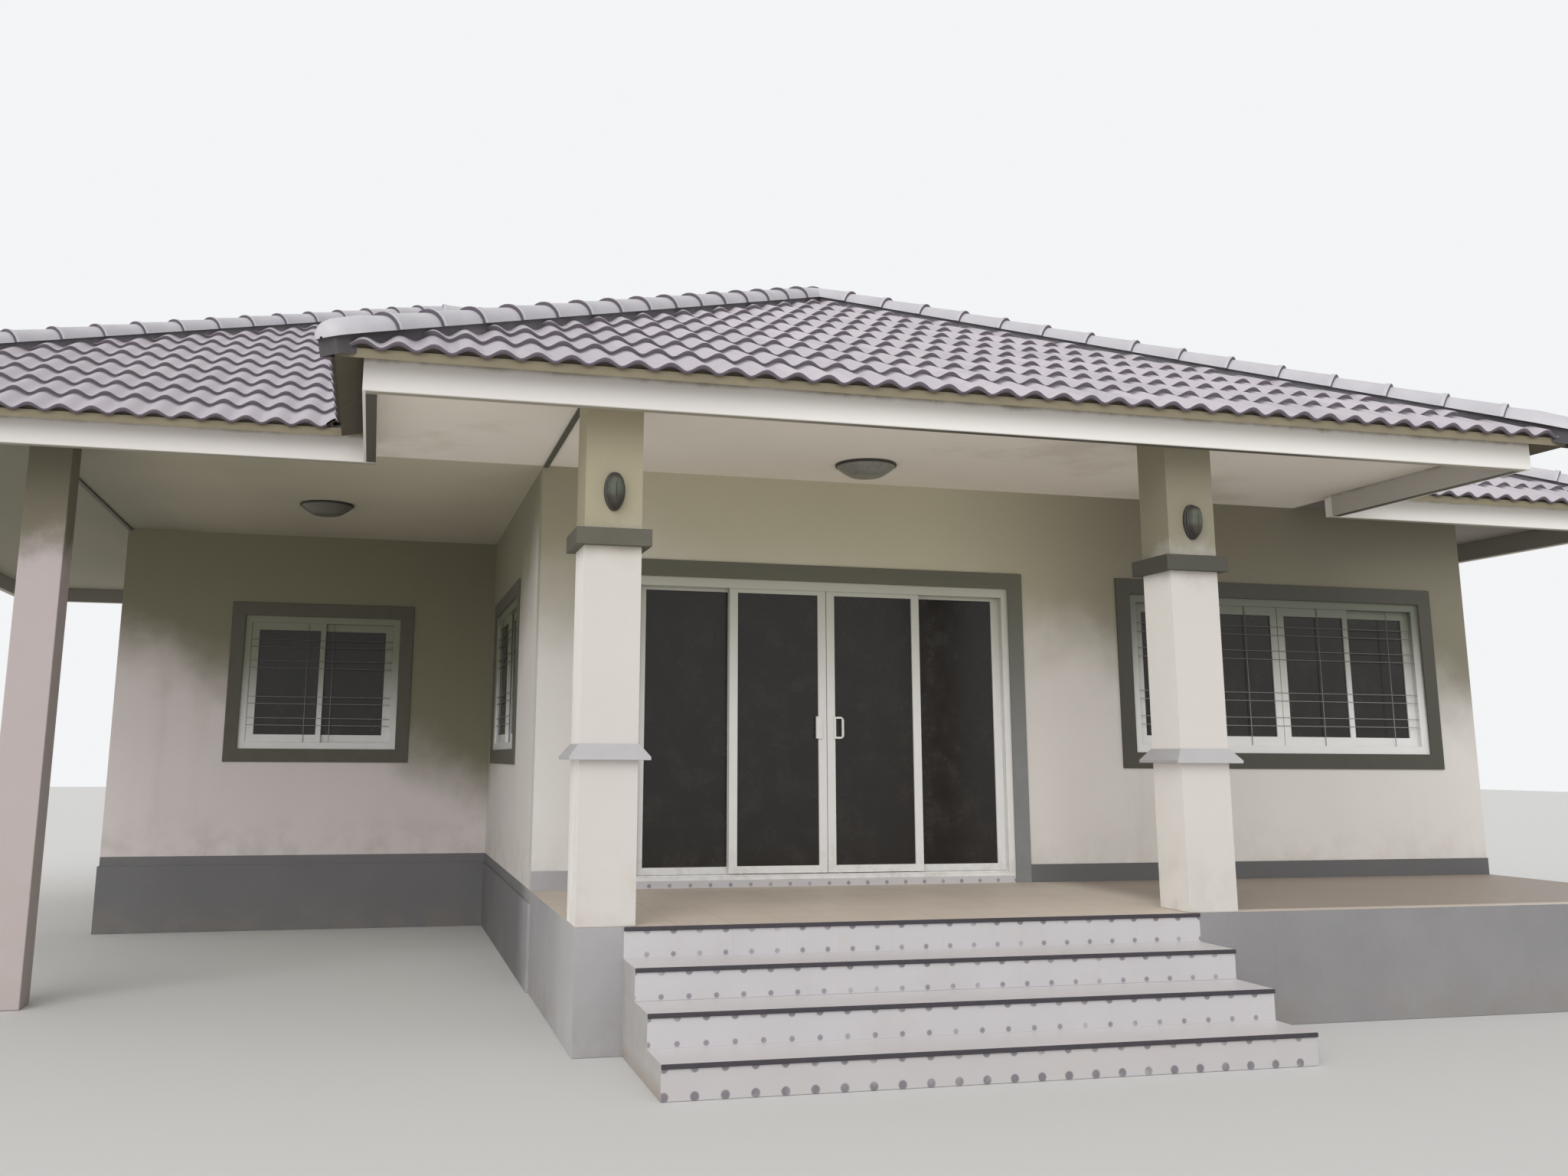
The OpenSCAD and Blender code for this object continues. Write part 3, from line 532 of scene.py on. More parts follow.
def porch_floor():
    """Dusty tan floor tiles on top, grey paint on the sides, step tiles on the face over the steps. Painted
    light lightens the top towards its front edge and the slab's left face; painted shade darkens the top's
    front right corner and the grey sides to the right.
    """
    s = Shader("porch_floor", 0.55)
    x, y, z = s.axes()
    normal = s.normal()
    joints = s.most(grid_line(s, x), grid_line(s, y))
    tan = s.mix(s.noise(2.5, 5.0), *FLOOR_TONES)
    low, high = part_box("porch_slab")
    # Painted light towards the front edge.
    tan = s.mix(s.ramp(y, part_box("front_wall_left")[0].y, low.y, 0.5), tan, FLOOR_FRONT_LIGHT)
    # Painted shade in the front right corner.
    corner = s.times(s.ramp(x, *FLOOR_DARKENS), s.fade(y, low.y, FLOOR_EDGE_FADE))
    tan = s.mix(s.times(corner, 0.7), tan, FLOOR_RIGHT_SHADE)
    tan = s.mix(s.times(joints, 0.5), tan, FLOOR_JOINT)
    step_low, step_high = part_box("step_3")
    over_steps = s.times(s.math("GREATER_THAN", x, step_low.x), s.math("LESS_THAN", x, step_high.x))
    face = s.times(over_steps, s.math("GREATER_THAN", z, high.z - STEP_RISE))
    # Painted shade on the grey sides to the right.
    side = grey_paint(s, s.ramp(x, *SLAB_DARKENS, 0.44))
    # Painted light on the left face near the front.
    left = s.times(s.ramp(normal[0], -0.4, -0.6), s.fade(y, low.y, SLAB_LEFT_FADE, 0.45))
    side = s.mix(face, s.mix(left, side, SLAB_LEFT_LIGHT), tile_paint(s))
    s.bump(s.minus(s.noise(50.0, 4.0), joints), 0.002, 0.5)
    return s.color(s.mix(s.ramp(normal[2], *FACES_UP), side, tan))


def grid_line(s, value):
    """1 on the joints between floor tiles, else 0."""
    spot = s.math("FRACT", s.math("DIVIDE", value, FLOOR_TILE))
    away = s.times(s.least(spot, s.minus(1.0, spot)), FLOOR_TILE)
    return s.ramp(away, FLOOR_JOINT_WIDE / 2, FLOOR_JOINT_WIDE / 4)


def tile_paint(s):
    """Pale wall tiles with soft dark dots in rows at the foot and the head of each riser."""
    x, _, z = s.axes()
    level = s.math("DIVIDE", z, STEP_RISE)
    drift = s.times(s.math("FLOOR", level), DOT_DRIFT)
    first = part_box("step_3")[0].x + DOT_FIRST
    across = s.math("PINGPONG", s.minus(s.plus(x, drift), first), DOT_PITCH / 2)
    height = s.times(s.math("FRACT", level), STEP_RISE)
    ground = s.math("LESS_THAN", level, 1.0)

    def dot(middle, radius):
        rise = s.minus(height, middle)
        away = s.math("SQRT", s.plus(s.times(across, across), s.times(rise, rise)))
        return s.ramp(s.minus(away, radius), DOT_SOFT, -DOT_SOFT)

    foot_r = s.plus(DOT_FOOT_R, s.times(ground, DOT_GROUND_R - DOT_FOOT_R))
    foot = s.times(dot(DOT_FOOT_Z, foot_r), s.plus(0.7, s.times(ground, 0.15)))
    worn = s.ramp(s.noise(6.0), 0.2, 0.55)
    dots = s.times(s.most(foot, s.times(dot(DOT_HEAD_Z, DOT_HEAD_R), 0.8)), worn)
    color = s.mix(s.noise(3.0, 4.0), *RISER_TONES)
    color = s.mix(s.ramp(s.noise(7.0, 5.0), 0.52, 0.75, 0.3), color, RISER_STAIN)
    color = s.mix(s.times(ground, 0.3), color, RISER_SOILED)
    return s.mix(dots, color, DOT_TONE)


def step_tile():
    """Tiled risers and treads; the cheeks of the steps are bare render, stained at their foot."""
    s = Shader("step_tile", 0.4)
    z = s.axes()[2]
    normal = s.normal()
    tread = s.mix(s.noise(3.0, 4.0), *TREAD_TONES)
    color = s.mix(s.ramp(normal[2], *FACES_UP), tile_paint(s), tread)
    cement = s.mix(s.noise(8.0, 5.0), *CEMENT_TONES)
    cement = s.mix(s.ramp(z, *CEMENT_SOILED, 0.6), cement, CEMENT_STAIN)
    s.bump(s.noise(25.0, 3.0), 0.001, 0.4)
    return s.color(s.mix(s.ramp(s.math("ABSOLUTE", normal[0]), *FACES_SIDE), color, cement))


def plain(name, tones, roughness, grain=12.0, bump=0.0008):
    """A painted or moulded surface: two close tones in soft clouds, with a fine uneven skin."""
    s = Shader(name, roughness)
    s.bump(s.noise(grain * 6, 3.0), bump, 0.5)
    return s.color(s.mix(s.noise(grain, 4.0), *tones))


def dark_trim():
    """Dark olive grey paint, darker on the right half of the front."""
    s = Shader("dark_trim", 0.75)
    x, y = s.axes()[:2]
    color = s.mix(s.noise(8.0, 4.0), *TRIM_TONES)
    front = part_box("front_wall_right")[0].y
    shade = s.times(s.ramp(x, *TRIM_DARKENS, 0.6), s.fade(y, front, TRIM_FRONT_FADE))
    s.bump(s.noise(48.0, 3.0), 0.002, 0.5)
    return s.color(s.mix(shade, color, TRIM_SHADED))


def door_trim():
    """The raised band round the door: blue grey low down, with dark olive painted shade along its head."""
    s = Shader("door_trim", 0.75)
    z = s.axes()[2]
    color = s.mix(s.noise(8.0, 4.0), *DOOR_TRIM_TONES)
    s.bump(s.noise(48.0, 3.0), 0.002, 0.5)
    # Painted shade along the head.
    return s.color(s.mix(s.ramp(z, *DOOR_TRIM_TURNS), color, DOOR_TRIM_HEAD_SHADE))


def frame_white(name, low, high, head):
    """White powder coat, a little dusty low down, with greenish painted shade from low to high."""
    s = Shader(name, 0.4)
    z = s.axes()[2]
    color = s.mix(s.noise(9.0, 3.0), *FRAME_TONES)
    # Painted shade towards the head.
    color = s.mix(s.ramp(z, low, high), color, head)
    dust = s.times(s.ramp(z, *FRAME_DUSTY), s.ramp(s.noise(14.0, 4.0), 0.4, 0.75))
    s.bump(s.noise(120.0), 0.0003, 0.4)
    return s.color(s.mix(s.times(dust, 0.4), color, FRAME_DUST))


def grille_steel():
    """Thin grey bars that darken towards the window's head."""
    s = Shader("grille", 0.6)
    z = s.axes()[2]
    color = s.mix(s.noise(20.0, 4.0), *STEEL_TONES)
    return s.color(s.mix(s.ramp(z, *STEEL_DARKENS), color, STEEL_HEAD))


def dark_glass():
    """Tinted panes, nearly black, with a thin film of dust."""
    s = Shader("dark_glass", Specular_IOR_Level=0.35)
    dust = s.ramp(s.noise(5.0, 6.0, 0.65), 0.40, 0.90)
    s.put(s.bsdf.inputs["Roughness"], s.plus(0.20, s.times(dust, 0.25)))
    return s.color(s.mix(dust, *GLASS_TONES))


def fascia_board(node):
    """White boards, brown along their tops, partly a drip stain and partly painted shade; painted shade to
    the left, on their inner faces and on their undersides behind their feet.
    """
    s = Shader(f"{node}_board", 0.7)
    x, y, z = s.axes()
    low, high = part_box(node)
    color = s.mix(s.noise(1.6, 4.0), *BOARD_TONES)
    edge = s.plus(z, s.times(s.noise(7.0, 4.0, 0.6, RAGGED_DOWN), STAIN_SHADE_RAGGED))
    # Painted shade to the left.
    color = s.mix(s.ramp(x, *BOARD_LEFT_SHADE_FADE, 0.5), color, BOARD_LEFT_SHADE)
    # Brown top band: partly a drip stain, partly painted shade.
    color = s.mix(s.ramp(edge, low.z + STAIN_SHADE_FROM, low.z + STAIN_SHADE_TO), color, BOARD_STAIN_AND_SHADE)
    rims = [s.minus(x, low.x), s.minus(high.x, x), s.minus(y, low.y)]
    away = s.least(*rims)
    if node == "main_fascia":
        away = s.least(away, s.minus(high.y, y))
    nx, ny, nz = s.normal()
    # Painted shade on the undersides and the inner faces.
    under = s.times(s.ramp(nz, -0.4, -0.6), s.ramp(away, *FASCIA_UNDER_BEHIND))
    inner = s.times(s.ramp(nx, *FACES_LEFT), s.fade(x, high.x, INNER_FADE_HIGH))
    if node == "main_fascia":
        left = s.times(s.ramp(nx, 0.5, 0.7), s.fade(x, low.x, INNER_FADE_LOW))
        back = s.times(s.ramp(ny, *FACES_LEFT), s.fade(y, high.y, INNER_FADE_HIGH))
        inner = s.most(inner, s.most(left, back))
    color = s.mix(s.times(inner, INNER_SHADE[node]), color, BOARD_INNER_SHADE)
    # The undersides' painted shade, deeper under the middle of the porch fascia and behind its front.
    foot = FASCIA_UNDER_SHADE
    if node == "porch_fascia":
        middle = s.times(s.ramp(x, *FASCIA_UNDER_DEEPENS), s.ramp(x, *FASCIA_UNDER_EASES))
        dark = s.most(middle, s.ramp(s.minus(y, low.y), *FASCIA_UNDER_DEEP_BEHIND))
        foot = s.mix(dark, foot, FASCIA_UNDER_DEEP_SHADE)
    color = s.mix(under, color, foot)
    s.bump(s.noise(45.0, 3.0), 0.0015, 0.5)
    return s.color(color)


def soffit_board():
    """Warm grey flat boards with old water stains. Painted shade makes them darker and greener over the
    carport and left of the porch, far to the left, to the right and beyond the porch's right end; painted
    light lifts the carport part towards the right.
    """
    s = Shader("soffit_board", 0.85)
    x, y = s.axes()[:2]
    color = s.mix(s.noise(0.9, 5.0), *SOFFIT_TONES)
    front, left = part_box("front_wall_left")[0].y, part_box("porch_fascia")[0].x
    back = s.times(s.fade(y, front, SOFFIT_BACK_FADE), s.fade(x, HOUSE_X, SOFFIT_SIDE_FADE))
    back = s.most(back, s.fade(x, left, SOFFIT_PORCH_FADE))
    # Painted shade over the carport and left of the porch.
    shade_tone = s.mix(s.noise(1.4, 5.0), *SOFFIT_SHADE_TONES)
    color = s.mix(back, color, shade_tone)
    # Painted light on the carport part towards the right.
    bright = s.times(back, s.fade(x, HOUSE_X, SOFFIT_LIGHT_PATCH_FADE, 0.35))
    color = s.mix(bright, color, SOFFIT_LIGHT_PATCH)
    # Painted shade far to the left, to the right and beyond the porch's right end.
    color = s.mix(s.fade(x, HOUSE_X, SOFFIT_LEFT_FADE, 0.85), color, SOFFIT_LEFT_SHADE)
    color = s.mix(s.ramp(x, *SOFFIT_RIGHT_SHADE_FADE, 0.2), color, SOFFIT_RIGHT_SHADE)
    right = s.fade(x, PORCH_HI.x, SOFFIT_BEYOND_FADE)
    color = s.mix(s.times(right, 0.8), color, SOFFIT_BEYOND_SHADE)
    color = s.mix(s.ramp(s.noise(0.55, 6.0, 0.6), 0.56, 0.68, 0.3), color, SOFFIT_STAIN)
    s.bump(s.noise(40.0, 3.0), 0.001, 0.4)
    return s.color(color)


def roof_shell():
    """What shows between the tiles and under the eaves: a deck and eave undersides painted dark as shade, and
    brown edges that are partly weathering and partly painted shade.
    """
    s = Shader("roof_shell", 0.9)
    nz = s.normal()[2]
    grain = s.noise(9.0, 4.0)
    edge = s.mix(grain, *EAVE_EDGE_STAIN_AND_SHADE_TONES)
    under = s.mix(grain, *EAVE_UNDER_SHADE_TONES)
    deck = s.mix(s.noise(5.0, 3.0), *DECK_SHADE_TONES)
    # Painted shade on the undersides and the deck.
    color = s.mix(s.ramp(nz, *FACES_DOWN), edge, under)
    s.bump(s.noise(30.0, 3.0), 0.002, 0.5)
    return s.color(s.mix(s.ramp(nz, 0.5, 0.7), color, deck))


def roof_tile():
    """Lavender grey painted tiles, each a little different, with painted shade below the lap of the next
    course and towards the left of the roof.
    """
    s = Shader("roof_tile", 0.5)
    tone = s.attribute("tile_tone")
    color = s.mix(tone, *TILE_TONES)
    color = s.mix(s.ramp(s.noise(11.0, 5.0), 0.5, 0.8, 0.3), color, TILE_SOILED)
    color = s.mix(s.ramp(s.noise(1.1, 3.0), 0.45, 0.7, 0.25), color, TILE_FADED)
    # Painted shade towards the left.
    color = s.mix(s.ramp(s.axes()[0], *TILE_LEFT_SHADE_FADE, 0.35), color, TILE_LEFT_SHADE)
    # Painted shade below the lap of the next course.
    share = s.math("FRACT", s.math("DIVIDE", s.most(s.attribute("tile_up"), 0.0), COURSE))
    color = s.mix(s.ramp(share, *TILE_LAP_SHADE_SPAN, 0.8), color, TILE_LAP_SHADE)
    s.bump(s.noise(70.0, 3.0), 0.001, 0.5)
    return s.color(color)


def mortar():
    """The bed under the caps, grey and blotched, with dark painted shade near the eaves."""
    s = Shader("mortar", 0.95)
    z = s.axes()[2]
    color = s.mix(s.noise(16.0, 4.0), *MORTAR_TONES)
    s.bump(s.noise(64.0, 3.0), 0.004, 0.5)
    # Painted shade near the eaves.
    return s.color(s.mix(s.fade(z, EAVE_Z, MORTAR_FADE, 0.7), color, MORTAR_EAVE_SHADE))


def bowl_glass():
    """Clouded grey glass, with browner painted shade over the carport."""
    s = Shader("lamp_bowl", 0.35)
    color = s.mix(s.noise(26.0, 4.0), *BOWL_TONES)
    # Painted shade over the carport.
    return s.color(s.mix(s.fade(s.axes()[0], HOUSE_X, BOWL_FADE, 0.75), color, BOWL_CARPORT_SHADE))


def lamp_glass():
    """Grey green glass, brown with grime low down and along its top."""
    s = Shader("lamp_glass", 0.5, Specular_IOR_Level=0.25)
    z = s.axes()[2]
    low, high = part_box("wall_lamps")
    clean = s.times(s.fade(z, low.z, LAMP_FOOT_FADE), s.fade(z, high.z, LAMP_TOP_FADE))
    glass = s.mix(s.noise(30.0, 4.0), *LAMP_TONES)
    return s.color(s.mix(clean, LAMP_GRIME, glass))


def roof_cap():
    """Caps in a cooler, greyer lavender than the tiles, dusty on top."""
    s = Shader("roof_cap", 0.55)
    color = s.mix(s.noise(6.0, 4.0), *CAP_TONES)
    up = s.times(s.ramp(s.normal()[2], 0.45, 1.0), s.ramp(s.noise(9.0), 0.3, 0.7))
    s.bump(s.noise(60.0, 3.0), 0.0015, 0.5)
    return s.color(s.mix(s.times(up, 0.6), color, CAP_DUST))


def dress(material, *nodes):
    """Gives CAD nodes their finish."""
    for node in nodes:
        slots = NODES[node].data.materials
        slots.clear()
        slots.append(material)


# Pieces
def piece(name, mesh, slot, *materials):
    """A finished mesh that rides on the house."""
    obj = bpy.data.objects.new(name, mesh)
    bpy.context.scene.collection.objects.link(obj)
    for material in materials:
        mesh.materials.append(material)
    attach(obj, HOUSE)
    return obj


def made(name, verts, faces, looks, smooth):
    """A mesh whose faces carry their material's number, smooth where that number is the given one."""
    mesh = bpy.data.meshes.new(name)
    mesh.from_pydata(verts, [], faces)
    mesh.polygons.foreach_set("material_index", looks)
    mesh.polygons.foreach_set("use_smooth", [look == smooth for look in looks])
    mesh.update()
    return mesh


def hashed(i, j):
    """A steady number from 0 to 1 for the tile in column i of course j."""
    return math.modf(abs(math.sin(i * 12.9898 + j * 78.233)) * 43758.5453)[0]


def wave_turn(along, crest):
    """0 in a trough, 1 on a crest."""
    return (0.5 + 0.5 * math.cos(2 * math.pi * (along - crest) / WAVE)) ** WAVE_ROUND


def tile_slope(name, start, along, inward, length, run, crest, cuts, materials):
    """Courses of wavy tiles on one roof slope. start is the eave's first corner, along its unit
    direction, inward the level direction up the slope, crest the place of a crest, and each cut is
    a point and the direction of the side that goes."""
    normal = (Vector((0, 0, 1)) - inward * SLOPE).normalized()
    rise = inward + Vector((0, 0, SLOPE))
    count = math.ceil(length / WAVE * WAVE_STEPS) + WAVE_STEPS
    verts, faces, looks, tones = [], [], [], []

    def row(deep, lip=0.0, level=True, dip=0.0):
        """A row of points across the slope: on the wave, and that share of a tile's thickness above it."""
        first = len(verts)
        for i in range(count):
            u = (i - WAVE_STEPS / 2) * WAVE / WAVE_STEPS
            turn = wave_turn(u, crest)
            thick = LIP_LOW + (LIP_HIGH - LIP_LOW) * turn
            height = TILE_SEAT - dip + WAVE_H * turn + lip * thick if level else 0.0
            verts.append(start + along * u + rise * deep + normal * height)
        return first

    def strip(low, high, look, course):
        for i in range(count - 1):
            faces.append((low + i, low + i + 1, high + i + 1, high + i))
            looks.append(look)
            tones.append(hashed((i + WAVE_STEPS * (course % 2)) // (WAVES_PER_TILE * WAVE_STEPS), course))

    for course in range(math.ceil(run / COURSE)):
        low, dip = (-EAVE_DROP, EAVE_DIP) if course == 0 else (course * COURSE, 0.0)
        foot, lip = row(low + LIP_FOOT_IN, dip=dip), row(low, LIP_SHADE_SHARE, dip=dip)
        nose = row(low + LIP_NOSE_IN, 1.0, dip=dip)
        # The lip's lower band takes the dark edge material: painted shade under the lap.
        strip(foot, lip, 1, course)
        strip(lip, nose, 0, course)
        strip(nose, row((course + 1) * COURSE + COURSE_LAP, -COURSE_LAP / COURSE), 0, course)
        # At the eave, the first course's underside and a fill under its humps take the under tile material:
        # painted shade.
        if course == 0:
            strip(row(low + UNDERSIDE_IN), foot, 2, course)
            strip(row(EAVE_FILL_IN, level=False), row(EAVE_FILL_IN), 2, course)
    mesh = bpy.data.meshes.new(name)
    mesh.from_pydata(verts, [], faces)
    mesh.polygons.foreach_set("material_index", looks)
    tone = mesh.attributes.new("tile_tone", "FLOAT", "FACE")
    tone.data.foreach_set("value", tones)
    trimmed(mesh, cuts)
    up = mesh.attributes.new("tile_up", "FLOAT", "POINT")
    up.data.foreach_set("value", [(v.co - start).dot(rise) / rise.length_squared for v in mesh.vertices])
    mesh.polygons.foreach_set("use_smooth", [True] * len(mesh.polygons))
    mesh.update()
    return piece(name, mesh, "roof_tile", *materials)


def trimmed(mesh, cuts):
    """Cuts the mesh along upright planes; a cut is a point, and the direction of the side that goes."""
    bm = bmesh.new()
    bm.from_mesh(mesh)
    for point, away in cuts:
        bmesh.ops.bisect_plane(
            bm, geom=bm.verts[:] + bm.edges[:] + bm.faces[:], plane_co=point, plane_no=away, clear_outer=True
        )
    bm.to_mesh(mesh)
    bm.free()


X, Y = Vector((1, 0, 0)), Vector((0, 1, 0))
MAIN_LO, MAIN_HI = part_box("main_roof")
PORCH_LO, PORCH_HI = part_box("porch_roof")
EAVE_Z = MAIN_LO.z + SHELL
MAIN_RUN = (MAIN_HI.y - MAIN_LO.y) / 2
PORCH_RUN = (PORCH_HI.x - PORCH_LO.x) / 2
PORCH_X = (PORCH_HI.x + PORCH_LO.x) / 2
SLOPE = (MAIN_HI.z - EAVE_Z) / MAIN_RUN


def at_eave(x, y):
    return Vector((x, y, EAVE_Z))


def shifted(cut, gap):
    """The same cut, moved back so that more goes."""
    point, away = cut
    return point - away.normalized() * gap, away


def make_tiles(materials):
    """Every slope of both roofs, cut at hips, ridges and valleys."""
    front_l, front_r = at_eave(MAIN_LO.x, MAIN_LO.y), at_eave(MAIN_HI.x, MAIN_LO.y)
    back_l, back_r = at_eave(MAIN_LO.x, MAIN_HI.y), at_eave(MAIN_HI.x, MAIN_HI.y)
    porch_l, porch_r = at_eave(PORCH_LO.x, PORCH_LO.y), at_eave(PORCH_HI.x, PORCH_LO.y)
    valley_l, valley_r = at_eave(PORCH_LO.x, MAIN_LO.y), at_eave(PORCH_HI.x, MAIN_LO.y)
    middle = at_eave(PORCH_X, MAIN_LO.y)
    ridge = MAIN_LO.y + MAIN_RUN
    width, depth = MAIN_HI.x - MAIN_LO.x, MAIN_HI.y - MAIN_LO.y
    reach = MAIN_LO.y - PORCH_LO.y + PORCH_RUN
    over_front, over_back = (at_eave(0, ridge), Y), (at_eave(0, ridge), -Y)
    slopes = {
        "main_tiles_front_left": (front_l, X, Y, PORCH_X - MAIN_LO.x, FIRST_CREST_X - MAIN_LO.x, [
            over_front, (front_l, Y - X), (middle, X), shifted((valley_l, X - Y), VALLEY_GAP)]),
        "main_tiles_front_right": (middle, X, Y, MAIN_HI.x - PORCH_X, FIRST_CREST_X - PORCH_X, [
            over_front, (front_r, X + Y), (middle, -X), shifted((valley_r, -X - Y), VALLEY_GAP)]),
        "main_tiles_back": (back_r, -X, -Y, width, 0.0, [over_back, (back_r, X - Y), (back_l, -X - Y)]),
        "main_tiles_left": (back_l, -Y, X, depth, 0.0, [(front_l, X - Y), (back_l, X + Y)]),
        "main_tiles_right": (front_r, Y, -X, depth, 0.0, [(front_r, -X - Y), (back_r, Y - X)]),
        "porch_tiles_front": (porch_l, X, Y, 2 * PORCH_RUN, FIRST_CREST_X - PORCH_LO.x, [
            (porch_l, Y - X), (porch_r, X + Y)]),
        "porch_tiles_left": (at_eave(PORCH_LO.x, PORCH_LO.y + reach), -Y, X, reach, 0.0, [
            (porch_l, X - Y), (middle, X), shifted((valley_l, Y - X), VALLEY_GAP)]),
        "porch_tiles_right": (porch_r, Y, -X, reach, 0.0, [
            (porch_r, -X - Y), (middle, -X), shifted((valley_r, X + Y), VALLEY_GAP)]),
    }
    for name, (start, along, inward, length, crest, cuts) in slopes.items():
        run = PORCH_RUN if name.startswith("porch") else MAIN_RUN
        tile_slope(name, start, along, inward, length, run, crest, cuts, materials)


def cap_ring(centre, side, up, wide, tall):
    """Points of a half-round section, from one edge over the top to the other."""
    return [
        centre + side * (wide * math.sin(a)) + up * (tall * math.cos(a))
        for a in (math.radians(-90 + 180 * i / CAP_TURNS) for i in range(CAP_TURNS + 1))
    ]


def cap_row(name, low, high, round_end, materials):
    """Overlapping half-round caps from the low end of a hip or ridge to its high end, on a mortar bed."""
    axis = (high - low).normalized()
    side = axis.cross(Vector((0, 0, 1))).normalized()
    up = side.cross(axis).normalized()
    total = (high - low).length
    verts, faces, looks = [], [], []

    def ring(points):
        first = len(verts)
        verts.extend(points)
        return first

    def half(t, wide, tall):
        return ring(cap_ring(low + axis * t + up * CAP_LIFT, side, up, wide, tall))

    def skin(a, b, count, look):
        for i in range(count - 1):
            faces.append((a + i, a + i + 1, b + i + 1, b + i))
            looks.append(look)

    count = max(1, round(total / CAP_STEP))
    step = total / count
    n = CAP_TURNS + 1
    for k in range(count):
        t = k * step
        end = half(min(t + step + CAP_LAP, total), CAP_NARROW, CAP_TALL - CAP_EDGE)
        if k == 0 and round_end:
            along, wide, tall = CAP_SHOULDER
            rings = [
                half(-CAP_REACH * math.cos(q), CAP_FIRST_WIDE * math.sin(q), CAP_FIRST_TALL * math.sin(q))
                for q in map(math.radians, CAP_END)
            ]
            rings += [half(step * along, CAP_WIDE * wide, CAP_TALL * tall), end]
            edge_rings = 0
        else:
            rings = [half(t, CAP_WIDE - CAP_EDGE, CAP_TALL - CAP_EDGE), half(t, CAP_WIDE, CAP_TALL)]
            rings += [half(t + along, CAP_WIDE + out, CAP_TALL + out) for along, out in CAP_COLLAR] + [end]
            edge_rings = 2
        # Except on the first cap, each cap's lower end takes the dark edge material: painted shade where it
        # laps the cap below.
        for i in range(len(rings) - 1):
            skin(rings[i], rings[i + 1], n, 1 if i < edge_rings else 0)
    sections = []
    whole = (1.0, 1.0)
    for t, wide, deep in (BED_START if round_end else (0.0, *whole), (CAP_STEP / 2, *whole), (total, *whole)):
        spot, foot, top = low + axis * t, BED_WIDE * wide, BED_WIDE * wide * BED_TAPER
        corners = ((-foot, -BED_FOOT * deep), (-top, CAP_LIFT + BED_OVER), (top, CAP_LIFT + BED_OVER),
                   (foot, -BED_FOOT * deep))
        sections.append(ring([spot + side * a + up * b for a, b in corners]))
    for a, b in zip(sections, sections[1:]):
        skin(a, b, 4, 2)
    for section in (sections[0], sections[-1]):
        faces.append(tuple(section + i for i in range(4)))
        looks.append(2)
    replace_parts(piece(name, made(name, verts, faces, looks, 0), "roof_cap", *materials), "roof_caps")


def make_caps(materials):
    """Caps on the hips and ridges of both roofs."""
    hips = {
        "main_front_left": (MAIN_LO.x, MAIN_LO.y, 1, 1, MAIN_RUN),
        "main_front_right": (MAIN_HI.x, MAIN_LO.y, -1, 1, MAIN_RUN),
        "main_back_left": (MAIN_LO.x, MAIN_HI.y, 1, -1, MAIN_RUN),
        "main_back_right": (MAIN_HI.x, MAIN_HI.y, -1, -1, MAIN_RUN),
        "porch_left": (PORCH_LO.x, PORCH_LO.y, 1, 1, PORCH_RUN),
        "porch_right": (PORCH_HI.x, PORCH_LO.y, -1, 1, PORCH_RUN),
    }
    for name, (x, y, turn_x, turn_y, run) in hips.items():
        low = at_eave(x, y)
        cap_row(f"caps_{name}", low, low + Vector((turn_x, turn_y, SLOPE)) * run, True, materials)
    lift = Vector((0, 0, SLOPE))
    ridge = MAIN_LO.y + MAIN_RUN
    cap_row("caps_main_ridge", at_eave(MAIN_LO.x + MAIN_RUN, ridge) + lift * MAIN_RUN,
            at_eave(MAIN_HI.x - MAIN_RUN, ridge) + lift * MAIN_RUN, False, materials)
    cap_row("caps_porch_ridge", at_eave(PORCH_X, PORCH_LO.y + PORCH_RUN) + lift * PORCH_RUN,
            at_eave(PORCH_X, MAIN_LO.y + PORCH_RUN + PORCH_RIDGE_OVER) + lift * PORCH_RUN, False, materials)


# Window grilles
def box_at(bm, low, high, place):
    """A square bar from its lowest to its highest corner, put in place by a matrix."""
    low, high = Vector(low), Vector(high)
    size, middle = high - low, (high + low) / 2
    bmesh.ops.create_cube(bm, size=1, matrix=place @ Matrix.Translation(middle) @ Matrix.Diagonal((*size, 1)))


def make_grilles(material):
    """Thin bars in front of the sashes: single uprights, level bars in pairs."""
    seat, half = WINDOW_BAR - GRILLE_SEAT, GRILLE_BAR / 2
    low_z, high_z = WINDOW_Z[0] + seat, WINDOW_Z[1] - seat
    upright_y, row_y = ([WINDOW_SET + deep for deep in pair] for pair in (UPRIGHT_DEEP, ROW_DEEP))
    for name, windows in WINDOWS.items():
        bm = bmesh.new()
        for x, y, turn, width, uprights in windows:
            turned = Matrix.Rotation(math.radians(turn), 4, "Z")
            place = Matrix.Translation((HOUSE_X + x, HOUSE_Y + y, 0)) @ turned
            for at in uprights:
                box_at(bm, (at - half, upright_y[0], low_z), (at + half, upright_y[1], high_z), place)
            for at in GRILLE_ROWS:
                box_at(bm, (seat, row_y[0], at - half), (width - seat, row_y[1], at + half), place)
        mesh = bpy.data.meshes.new(name)
        bm.to_mesh(mesh)
        bm.free()
        piece(name, mesh, "frame_white", material)


# Lamps
def belt(faces, looks, a, b, turns, look):
    """Faces between two closed rings of points, the first from number a on and the second from b on."""
    for i in range(turns):
        j = (i + 1) % turns
        faces.append((a + i, a + j, b + j, b + i))
        looks.append(look)


